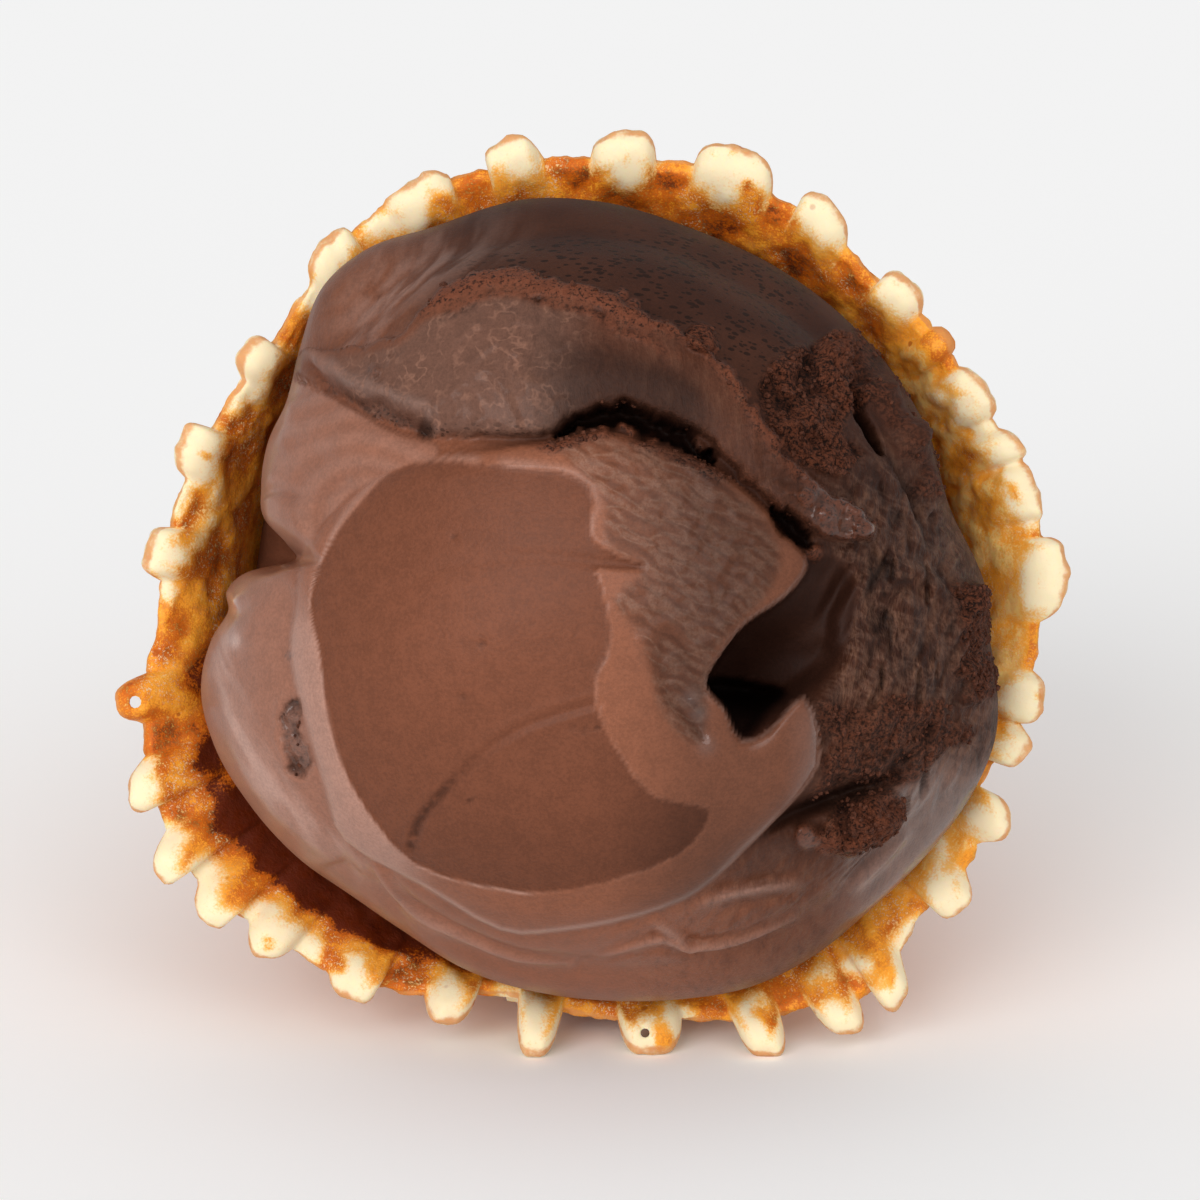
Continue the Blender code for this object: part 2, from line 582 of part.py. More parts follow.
def build_ice_cream():
    """Solid scoop with its folds, crevices and lumps, filling the cone down to near the tip."""
    work = Patchwork()
    columns = np.arange(SIDE_COLUMNS) * 360.0 / SIDE_COLUMNS
    edge = ring_curve(SCOOP_OUTLINE, columns)
    turns = np.radians(columns)
    rim = np.stack((edge * np.cos(turns), edge * np.sin(turns)), axis=1)
    layout = front_layout()
    share = np.hypot(*layout.T) / ring_curve(SCOOP_OUTLINE, np.degrees(np.arctan2(layout[:, 1], layout[:, 0])))
    layout = layout[share < 0.992]
    spots = np.concatenate((rim, layout))
    full = ring_curve(SCOOP_OUTLINE, np.degrees(np.arctan2(spots[:, 1], spots[:, 0])))
    share = np.clip(np.hypot(*spots.T) / full, 0.0, 1.0)
    spread = np.arcsin(share) / (share + 1e-9) * (1.0 / full)
    flat = spots * spread[:, None]
    loop = list(range(SIDE_COLUMNS))
    edges = [(k, (k + 1) % SIDE_COLUMNS) for k in loop]
    result = delaunay_2d_cdt(flat.tolist(), edges, [loop], 1, 1e-5, True)
    origin = [ids[0] for ids in result[3]]
    placed = spots[origin]
    work.add(scoop_front_point(placed[:, 0], placed[:, 1], 0.0), [tuple(face) for face in result[2]])

    rings = []
    for height in (EQUATOR_HEIGHT, 0.5, -2.0, -4.5, -7.5, -11.0, -15.0):
        drop = (EQUATOR_HEIGHT - height) / UNDERSIDE_DEPTH
        ball = edge * math.sqrt(1.0 - drop**2)
        wall = inner_wall_radius(columns, np.full(SIDE_COLUMNS, height)) - GAP
        pressed = smooth(CONTACT_TOP - height, 0.0, CONTACT_TOP - CONTACT_BOTTOM)
        radius = np.minimum(ball * (1.0 - pressed) + wall * pressed, wall)
        if height == EQUATOR_HEIGHT:
            radius = edge
        rings.append(
            np.stack((radius * np.cos(turns), radius * np.sin(turns), np.full(SIDE_COLUMNS, height)), 1)
        )
    work.add_rings(rings)
    previous = rings[-1]
    apex = -RIM_RADIUS / math.tan(HALF_ANGLE)
    for height, count in ((-30.0, 60), (-70.0, 40), (-110.0, 24), (PLUG_END + 1.0, 12)):
        ring_turns = np.arange(count) * 2 * math.pi / count
        radius = (height - apex) * math.tan(HALF_ANGLE) - WALL / math.cos(HALF_ANGLE) - GAP
        ring = np.stack(
            (radius * np.cos(ring_turns), radius * np.sin(ring_turns), np.full(count, height)), 1
        )
        work.add_zip(previous, ring)
        previous = ring
    work.add_fan(previous, (0.0, 0.0, PLUG_END))
    return work.build("ice_cream", (0.13, 0.06, 0.04), 0.5, rest_cut=False)


for leftover in list(bpy.data.objects):
    bpy.data.objects.remove(leftover)
build_waffle_cone()
build_ice_cream()
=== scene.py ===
"""Dresses the lying waffle cone and its chocolate scoop, and sets floor, light and camera.

Shapes are laid out in cone coordinates in millimetres: x to the right, y up and h along
the axis from the tip out through the mouth, zero at the middle of the rim plane. The view
points are places in the straight-down view, 1200 points wide and high.
"""

from __future__ import annotations

import logging
import math
from dataclasses import dataclass, field
from enum import Enum

import bmesh
import bpy
import numpy as np
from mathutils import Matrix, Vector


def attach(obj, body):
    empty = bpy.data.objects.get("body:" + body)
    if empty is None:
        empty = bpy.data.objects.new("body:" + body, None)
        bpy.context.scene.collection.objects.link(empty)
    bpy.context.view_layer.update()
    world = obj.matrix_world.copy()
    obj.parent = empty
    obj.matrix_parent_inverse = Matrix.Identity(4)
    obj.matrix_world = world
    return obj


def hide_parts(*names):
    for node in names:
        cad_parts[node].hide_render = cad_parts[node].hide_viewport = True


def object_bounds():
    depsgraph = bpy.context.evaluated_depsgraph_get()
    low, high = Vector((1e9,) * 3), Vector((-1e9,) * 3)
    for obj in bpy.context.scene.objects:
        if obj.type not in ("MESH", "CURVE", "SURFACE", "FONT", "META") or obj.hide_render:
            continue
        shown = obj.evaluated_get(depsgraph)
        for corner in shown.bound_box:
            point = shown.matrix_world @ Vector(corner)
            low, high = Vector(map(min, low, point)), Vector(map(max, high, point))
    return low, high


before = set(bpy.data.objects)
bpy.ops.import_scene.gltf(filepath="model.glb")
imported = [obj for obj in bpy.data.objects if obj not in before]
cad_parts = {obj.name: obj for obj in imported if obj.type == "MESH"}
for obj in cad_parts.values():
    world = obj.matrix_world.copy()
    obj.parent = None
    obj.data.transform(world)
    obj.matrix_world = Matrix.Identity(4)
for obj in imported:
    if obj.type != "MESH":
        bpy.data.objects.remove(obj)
CAD_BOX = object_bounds()
LOG = logging.getLogger("ice_cream_cone")

MM = 0.001
Points = list[tuple[float, float]]


class Mark(Enum):
    """Names of the surface marks that the meshes carry for their materials."""

    FILM = "film"
    PATCH = "patch"
    FROST = "frost"
    CRUMB = "crumb"
    WET = "wet"
    PORES = "pores"
    SHADE = "shade"
    # painted sheen: pale highlights, glints and sheen painted into the ice cream's colour
    GLEAM = "gleam"
    TORN = "torn"
    PLAN = "plan"
    PALE = "pale"
    # toasted lattice pits, with the inner wall's painted shadow and painted light added
    TOAST = "toast"
    EDGE = "edge"
    SHEET_A = "sheet_a"
    SHEET_B = "sheet_b"
    LATTICE = "lattice"
    NET = "net"
    FIBRE = "fibre"


# Shape functions.


def smooth(value: np.ndarray, low: float, high: float) -> np.ndarray:
    """Rise smoothly from 0 to 1 while the value runs from low to high."""
    share = np.clip((value - low) / (high - low), 0.0, 1.0)
    return share * share * (3.0 - 2.0 * share)


def bell(distance: np.ndarray, width: np.ndarray | float, power: int = 2) -> np.ndarray:
    """Rounded hump: 1 at no distance, fading over the width, squarer with a higher power."""
    return np.exp(-((distance / width) ** power))


def ring_points(radius: np.ndarray, turns: np.ndarray, height: float) -> np.ndarray:
    """Points of a level ring round the axis, from its radii and its angles in radians."""
    return np.stack((radius * np.cos(turns), radius * np.sin(turns), np.full(len(turns), height)), axis=1)


def ring_curve(points: Points, angles: np.ndarray) -> np.ndarray:
    """Periodic cubic through (degrees, value) points.

    Args:
        points: the (degrees, value) points in rising order.
        angles: where to read the curve, in degrees.

    Returns:
        The curve's values at the angles.
    """
    at = np.array([point[0] for point in points])
    value = np.array([point[1] for point in points])
    at = np.concatenate((at[-2:] - 360.0, at, at[:2] + 360.0))
    value = np.concatenate((value[-2:], value, value[:2]))
    slope = np.gradient(value, at)
    turned = np.mod(np.asarray(angles, dtype=float), 360.0)
    index = np.clip(np.searchsorted(at, turned, side="right") - 1, 0, len(at) - 2)
    span = at[index + 1] - at[index]
    share = (turned - at[index]) / span
    square, cube = share**2, share**3
    return (
        (2 * cube - 3 * square + 1) * value[index]
        + (cube - 2 * square + share) * span * slope[index]
        + (3 * square - 2 * cube) * value[index + 1]
        + (cube - square) * span * slope[index + 1]
    )


def corner_values(grid_x: np.ndarray, grid_y: np.ndarray, seed: float) -> np.ndarray:
    """Random-looking value from 0 to 1 for each whole-number corner of a grid."""
    value = np.sin(grid_x * 127.1 + grid_y * 311.7 + seed * 74.7) * 43758.5453
    return value - np.floor(value)


def noise(x: np.ndarray, y: np.ndarray, size: float, seed: float) -> np.ndarray:
    """Smooth value noise over the plan.

    Args:
        x: plan coordinates to the right.
        y: plan coordinates upward.
        size: the step of its grid.
        seed: choice of the pattern.

    Returns:
        A value between -1 and 1 for each place.
    """
    grid_x, grid_y = np.floor(x / size), np.floor(y / size)
    share_x, share_y = smooth(x / size - grid_x, 0, 1), smooth(y / size - grid_y, 0, 1)
    low = corner_values(grid_x, grid_y, seed) * (1 - share_x)
    low = low + corner_values(grid_x + 1, grid_y, seed) * share_x
    high = corner_values(grid_x, grid_y + 1, seed) * (1 - share_x)
    high = high + corner_values(grid_x + 1, grid_y + 1, seed) * share_x
    return 2.0 * (low * (1 - share_y) + high * share_y) - 1.0


def layered_noise(x: np.ndarray, y: np.ndarray, size: float, seed: float, layers: int) -> np.ndarray:
    """Sum of noises, each half the size and height of the one before.

    Args:
        x: plan coordinates to the right.
        y: plan coordinates upward.
        size: the grid step of the coarsest noise.
        seed: choice of the pattern.
        layers: how many noises are summed.

    Returns:
        The sum at each place.
    """
    total = np.zeros(np.shape(x))
    for layer in range(layers):
        part = 0.5**layer
        turn = 0.7 * layer
        turned_x = x * math.cos(turn) + y * math.sin(turn)
        turned_y = y * math.cos(turn) - x * math.sin(turn)
        total = total + part * noise(turned_x, turned_y, size * part, seed + 3.1 * layer)
    return total


def grains(x: np.ndarray, y: np.ndarray, size: float, seed: float) -> np.ndarray:
    """Rounded grains over the plan: 1 at the middle of a grain, 0 between grains.

    Args:
        x: plan coordinate to the right.
        y: plan coordinate upward.
        size: distance from grain to grain.
        seed: choice of the pattern.

    Returns:
        Height of the grain at each place, from 0 to 1.
    """
    grid_x, grid_y = np.floor(x / size), np.floor(y / size)
    best = np.full(np.shape(x), 9.0)
    for step_x in (-1, 0, 1):
        for step_y in (-1, 0, 1):
            cell_x, cell_y = grid_x + step_x, grid_y + step_y
            spot_x = cell_x + 0.15 + 0.7 * corner_values(cell_x, cell_y, seed)
            spot_y = cell_y + 0.15 + 0.7 * corner_values(cell_x, cell_y, seed + 5.0)
            best = np.minimum(best, np.hypot(x / size - spot_x, y / size - spot_y))
    return np.sqrt(np.clip(1.0 - (best / 0.8) ** 2, 0.0, 1.0))


def crumble(x: np.ndarray, y: np.ndarray, seed: float) -> np.ndarray:
    """Broken, crumbly relief of coarse and fine grains together.

    Args:
        x: plan coordinates to the right.
        y: plan coordinates upward.
        seed: choice of the pattern.

    Returns:
        The relief at each place, from about -0.6 to 1.
    """
    bent_x = x + 0.35 * noise(x, y, 1.2, seed)
    bent_y = y + 0.35 * noise(x, y, 1.2, seed + 1)
    coarse = grains(bent_x * 0.8, bent_y, 1.45, seed)
    middle = grains(bent_x, bent_y, 0.85, seed + 2)
    fine = grains(x, y, 0.5, seed + 4)
    return 0.6 * coarse + 0.4 * middle + 0.15 * fine - 0.6 + 0.35 * noise(x, y, 2.6, seed + 6)


@dataclass(frozen=True)
class View:
    """The straight-down view of the cone: what one point of it measures."""

    scale: float = 0.09
    middle: tuple[float, float] = (600.0, 597.0)
    distance: float = 500.0

    def nearness(self, height: np.ndarray) -> np.ndarray:
        """How much larger a place looks for its height over the rim plane."""
        return self.distance / (self.distance - height)

    def plan(self, points: Points) -> np.ndarray:
        """Turn view points into plan coordinates in millimetres."""
        spots = np.array(points, dtype=float)[:, :2]
        across = (spots[:, 0] - self.middle[0]) * self.scale
        up = (self.middle[1] - spots[:, 1]) * self.scale
        return np.stack((across, up), axis=1)

    def curve(self, points: Points, closed: bool = False, pieces: int = 3) -> np.ndarray:
        """Smooth line through view points.

        Args:
            points: the view points.
            closed: whether the line returns to its start.
            pieces: how many straight pieces stand for each span.

        Returns:
            Plan coordinates along the line, in millimetres.
        """
        spots = self.plan(points)
        if closed:
            before, after = np.roll(spots, 1, axis=0), np.roll(spots, -1, axis=0)
            beyond = np.roll(spots, -2, axis=0)
        else:
            before = np.concatenate((spots[:1], spots[:-2]))
            after = spots[1:]
            beyond = np.concatenate((spots[2:], spots[-1:]))
            before, spots = before[: len(after)], spots[: len(after)]
        shares = np.arange(pieces) / pieces
        rows = []
        for share in shares:
            square, cube = share**2, share**3
            rows.append(
                0.5
                * (
                    2 * spots
                    + (after - before) * share
                    + (2 * before - 5 * spots + 4 * after - beyond) * square
                    + (3 * spots - before - 3 * after + beyond) * cube
                )
            )
        line = np.stack(rows, axis=1).reshape(-1, 2)
        return line if closed else np.concatenate((line, after[-1:]))

    def ridge(self, x: np.ndarray, y: np.ndarray, points: Points, width: float, shift: float = 0.0) -> np.ndarray:
        """Rounded ridge along a line of view points, 1 on it and fading to its ends.

        Args:
            x: plan coordinates to the right.
            y: plan coordinates upward.
            points: the view points.
            width: half width of the ridge.
            shift: distance of the ridge's crest from the line, on both sides.

        Returns:
            The ridge's share at each place.
        """
        away, along = line_distance(x, y, self.curve(points))
        fade = np.sin(math.pi * np.clip(along, 0.03, 0.97)) ** 0.5
        return fade * bell(away - shift, width)


def line_distance(
    x: np.ndarray, y: np.ndarray, line: np.ndarray, closed: bool = False
) -> tuple[np.ndarray, np.ndarray]:
    """Distance from each place to a line, and how far along it the nearest point is.

    Args:
        x: plan coordinates to the right.
        y: plan coordinates upward.
        line: the line's points.
        closed: whether the line returns to its start.

    Returns:
        The distances in millimetres, and the share of the way along, from 0 to 1.
    """
    ends = np.roll(line, -1, axis=0) if closed else line[1:]
    starts = line if closed else line[:-1]
    best = np.full(np.shape(x), 1e9)
    along = np.zeros(np.shape(x))
    for number, (start, end) in enumerate(zip(starts, ends)):
        run = end - start
        share = ((x - start[0]) * run[0] + (y - start[1]) * run[1]) / max(run @ run, 1e-9)
        share = np.clip(share, 0.0, 1.0)
        distance = np.hypot(x - start[0] - share * run[0], y - start[1] - share * run[1])
        nearer = distance < best
        along = np.where(nearer, (number + share) / len(starts), along)
        best = np.where(nearer, distance, best)
    return best, along


def inside_distance(x: np.ndarray, y: np.ndarray, outline: np.ndarray) -> np.ndarray:
    """Distance to a closed outline.

    Args:
        x: plan coordinates to the right.
        y: plan coordinates upward.
        outline: the outline's points.

    Returns:
        The distances, positive inside the outline and negative outside it.
    """
    distance, _ = line_distance(x, y, outline, closed=True)
    inside = np.zeros(np.shape(x), dtype=bool)
    for start, end in zip(outline, np.roll(outline, -1, axis=0)):
        if start[1] == end[1]:
            continue
        crosses = (start[1] > y) != (end[1] > y)
        where = start[0] + (y - start[1]) / (end[1] - start[1]) * (end[0] - start[0])
        inside ^= crosses & (x < where)
    return np.where(inside, distance, -distance)


# Resting frame and meshes.


@dataclass(frozen=True)
class Rest:
    """How the cone lies: its angle to the floor and where the middle of its mouth is."""

    angle: float = math.radians(15.1)
    mouth: tuple[float, float, float] = (0.68, -46.68, 39.93)

    def place(self, points: np.ndarray) -> np.ndarray:
        """Turn cone coordinates in millimetres into metres in the resting frame."""
        sine, cosine = math.sin(self.angle), math.cos(self.angle)
        x = self.mouth[0] + points[:, 0]
        y = self.mouth[1] + points[:, 1] * sine - points[:, 2] * cosine
        z = self.mouth[2] + points[:, 1] * cosine + points[:, 2] * sine
        return np.stack((x, y, z), axis=1) * MM


@dataclass
class Skin:
    """Points, faces and surface marks of one closed mesh, joined ring by ring."""

    points: list[np.ndarray] = field(default_factory=list)
    faces: list[tuple[int, ...]] = field(default_factory=list)
    marks: list[dict[str, np.ndarray]] = field(default_factory=list)
    count: int = 0

    def add(self, points: np.ndarray, marks: dict[Mark, np.ndarray] | None = None) -> np.ndarray:
        """Add points with their marks and return their numbers."""
        numbers = np.arange(self.count, self.count + len(points))
        self.points.append(np.asarray(points, dtype=float))
        self.marks.append({mark.value: value for mark, value in (marks or {}).items()})
        self.count += len(points)
        return numbers

    def bridge(self, ring: np.ndarray, other: np.ndarray) -> None:
        """Join two closed rings of equal count with quads."""
        beside, other_beside = np.roll(ring, -1), np.roll(other, -1)
        quads = np.stack((ring, beside, other_beside, other), axis=1)
        self.faces.extend(map(tuple, quads.tolist()))

    def zip_rings(
        self, ring: np.ndarray, turns: np.ndarray, other: np.ndarray, other_turns: np.ndarray
    ) -> None:
        """Join two closed rings of unlike count with triangles, by their angles.

        Args:
            ring: point numbers of the first ring.
            turns: their rising angles, less than one turn in all.
            other: point numbers of the second ring.
            other_turns: their rising angles.
        """
        here, there = 0, 0
        full = 2 * math.pi
        while here < len(ring) or there < len(other):
            next_here = turns[here + 1] if here + 1 < len(ring) else turns[0] + full
            next_there = other_turns[there + 1] if there + 1 < len(other) else other_turns[0] + full
            first, second = int(ring[here % len(ring)]), int(other[there % len(other)])
            if there >= len(other) or (here < len(ring) and next_here <= next_there):
                self.faces.append((first, int(ring[(here + 1) % len(ring)]), second))
                here += 1
            else:
                self.faces.append((first, int(other[(there + 1) % len(other)]), second))
                there += 1

    def fan(self, ring: np.ndarray, centre: int) -> None:
        """Close a ring with triangles to one point."""
        for here, beside in zip(ring.tolist(), np.roll(ring, -1).tolist()):
            self.faces.append((here, beside, centre))

    def build(self, name: str, rest: Rest) -> bpy.types.Object:
        """Make the mesh object in the resting frame, with its marks as attributes.

        Args:
            name: the object's name.
            rest: the resting frame.

        Returns:
            The new object, at the origin, linked to the scene.
        """
        mesh = bpy.data.meshes.new(name)
        spots = np.concatenate(self.points)
        mesh.from_pydata(rest.place(spots).tolist(), [], self.faces)
        body = bmesh.new()
        body.from_mesh(mesh)
        bmesh.ops.recalc_face_normals(body, faces=body.faces)
        body.to_mesh(mesh)
        body.free()
        names = sorted({mark for block in self.marks for mark in block})
        for mark in names:
            values = [
                np.broadcast_to(block.get(mark, 0.0), (len(points),))
                for block, points in zip(self.marks, self.points)
            ]
            layer = mesh.attributes.new(mark, "FLOAT", "POINT")
            layer.data.foreach_set("value", np.concatenate(values).astype(np.float32))
        plan = mesh.attributes.new(Mark.PLAN.value, "FLOAT_VECTOR", "POINT")
        plan.data.foreach_set("vector", spots.astype(np.float32).ravel())
        mesh.polygons.foreach_set("use_smooth", np.ones(len(mesh.polygons), dtype=bool))
        made = bpy.data.objects.new(name, mesh)
        bpy.context.scene.collection.objects.link(made)
        return made


# Node work.


@dataclass
class NodeBench:
    """Adds and wires the nodes of one tree."""

    tree: bpy.types.NodeTree

    def add(self, kind: str, feeds: dict | None = None, **settings: object) -> bpy.types.Node:
        """Add a node.

        Args:
            kind: the node's type name.
            feeds: values or output sockets, by input name or number.
            settings: the node's own properties.

        Returns:
            The new node.
        """
        node = self.tree.nodes.new(kind)
        for name, value in settings.items():
            setattr(node, name, value)
        for key, value in (feeds or {}).items():
            self.feed(node.inputs[key], value)
        return node

    def feed(self, socket: bpy.types.NodeSocket, value: object) -> None:
        """Wire a socket to an output, or set its value."""
        if isinstance(value, bpy.types.NodeSocket):
            self.tree.links.new(value, socket)
        else:
            socket.default_value = value

    def math(self, operation: str, *values: object, clamp: bool = False) -> bpy.types.NodeSocket:
        """Add a Math node and return its output."""
        feeds = dict(enumerate(values))
        node = self.add("ShaderNodeMath", feeds, operation=operation, use_clamp=clamp)
        return node.outputs[0]

    def mix(self, share: object, low: object, high: object, way: str = "MIX") -> bpy.types.NodeSocket:
        """Add a colour Mix node and return its output."""
        feeds = {0: share, 6: low, 7: high}
        node = self.add("ShaderNodeMix", feeds, data_type="RGBA", blend_type=way)
        return node.outputs[2]

    def ramp(self, value: object, low: float, high: float, out: tuple = (0.0, 1.0)) -> bpy.types.NodeSocket:
        """Map a value from one range to another with a smooth step, held at its ends."""
        feeds = {"Value": value, "From Min": low, "From Max": high, "To Min": out[0], "To Max": out[1]}
        return self.add("ShaderNodeMapRange", feeds, interpolation_type="SMOOTHSTEP").outputs[0]

    def mark(self, mark: Mark) -> bpy.types.NodeSocket:
        """Read one surface mark in a material."""
        node = self.add("ShaderNodeAttribute", attribute_name=mark.value, attribute_type="GEOMETRY")
        return node.outputs["Vector" if mark is Mark.PLAN else "Fac"]

    def noise(self, vector: object, scale: float, detail: float = 3.0, **more: float) -> bpy.types.NodeSocket:
        """Add a Noise texture and return its value."""
        feeds = {"Vector": vector, "Scale": scale, "Detail": detail}
        feeds.update({name.replace("_", " ").title(): value for name, value in more.items()})
        return self.add("ShaderNodeTexNoise", feeds).outputs["Fac"]

    def group(self, tree: bpy.types.NodeTree, **feeds: object) -> bpy.types.Node:
        """Place a node group with its inputs, named with underscores for spaces."""
        node = self.tree.nodes.new("ShaderNodeGroup")
        node.node_tree = tree
        for name, value in feeds.items():
            self.feed(node.inputs[name.replace("_", " ").capitalize()], value)
        return node


def colour(code: str) -> tuple[float, float, float, float]:
    """Turn a screen colour written in hexadecimal into a scene colour."""
    parts = [int(code[index : index + 2], 16) / 255.0 for index in (0, 2, 4)]
    linear = [part / 12.92 if part <= 0.04045 else ((part + 0.055) / 1.055) ** 2.4 for part in parts]
    return (*linear, 1.0)


def new_group(name: str, takes: dict[str, float], gives: tuple[str, ...]) -> NodeBench:
    """Start a shader group with number inputs, a vector input and number outputs.

    Args:
        name: the group's name.
        takes: its number inputs and their default values.
        gives: its outputs.

    Returns:
        A bench on the new group's tree, with its end nodes in place.
    """
    tree = bpy.data.node_groups.new(name, "ShaderNodeTree")
    tree.interface.new_socket(name="Vector", in_out="INPUT", socket_type="NodeSocketVector")
    for label, value in takes.items():
        socket = tree.interface.new_socket(name=label, in_out="INPUT", socket_type="NodeSocketFloat")
        socket.default_value = value
    for label in gives:
        tree.interface.new_socket(name=label, in_out="OUTPUT", socket_type="NodeSocketFloat")
    bench = NodeBench(tree)
    bench.add("NodeGroupInput", name="in")
    bench.add("NodeGroupOutput", name="out")
    return bench


@dataclass
class SharedEffects:
    """Shader groups that the waffle and the ice cream both use."""

    grain: bpy.types.NodeTree | None = None
    pores: bpy.types.NodeTree | None = None

    def build(self) -> None:
        """Build each group once."""
        self.grain = self._grain()
        self.pores = self._pores()

    def _grain(self) -> bpy.types.NodeTree:
        """Fine grain: a height and a tone that change over the surface."""
        bench = new_group("fine_grain", {"Size": 0.4, "Roughness": 0.6, "Seed": 0.0}, ("Height", "Tone"))
        ends = bench.tree.nodes
        vector = ends["in"].outputs["Vector"]
        scale = bench.math("DIVIDE", 1.0, ends["in"].outputs["Size"])
        moved = bench.add("ShaderNodeVectorMath", {0: vector, 1: ends["in"].outputs["Seed"]})
        fine = bench.add(
            "ShaderNodeTexNoise",
            {
                "Vector": moved.outputs[0],
                "Scale": scale,
                "Detail": 3.0,
                "Roughness": ends["in"].outputs["Roughness"],
            },
        )
        coarse_scale = bench.math("MULTIPLY", scale, 0.21)
        coarse = bench.add(
            "ShaderNodeTexNoise", {"Vector": moved.outputs[0], "Scale": coarse_scale, "Detail": 1.0}
        )
        height = bench.math("MULTIPLY_ADD", coarse.outputs["Fac"], 0.5, fine.outputs["Fac"])
        bench.feed(ends["out"].inputs["Height"], height)
        fine_share = bench.math("MULTIPLY", fine.outputs["Fac"], 0.75)
        tone = bench.math("MULTIPLY_ADD", coarse.outputs["Fac"], 0.25, fine_share)
        bench.feed(ends["out"].inputs["Tone"], tone)
        return bench.tree

    def _pores(self) -> bpy.types.NodeTree:
        """Small pores: a mask that is 1 in a pore, with a stretch and a share of open pores."""
        bench = new_group("pores", {"Size": 1.0, "Open": 0.4, "Width": 0.25}, ("Mask",))
        ends = bench.tree.nodes
        scale = bench.math("DIVIDE", 1.0, ends["in"].outputs["Size"])
        cells = bench.add(
            "ShaderNodeTexVoronoi", {"Vector": ends["in"].outputs["Vector"], "Scale": scale, "Randomness": 1.0}
        )
        pick = bench.add("ShaderNodeSeparateColor", {"Color": cells.outputs["Color"]})
        chosen = bench.math("LESS_THAN", pick.outputs[0], ends["in"].outputs["Open"])
        reach = bench.math("MULTIPLY", ends["in"].outputs["Width"], bench.math("ADD", pick.outputs[1], 0.35))
        near = bench.math("SUBTRACT", reach, cells.outputs["Distance"])
        mask = bench.math("MULTIPLY", bench.ramp(near, 0.0, 0.07), chosen)
        bench.feed(ends["out"].inputs["Mask"], mask)
        return bench.tree


def new_material(name: str) -> tuple[bpy.types.Material, NodeBench, bpy.types.Node]:
    """Start a material with one Principled shader."""
    material = bpy.data.materials.new(name)
    material.use_nodes = True
    bench = NodeBench(material.node_tree)
    return material, bench, material.node_tree.nodes["Principled BSDF"]


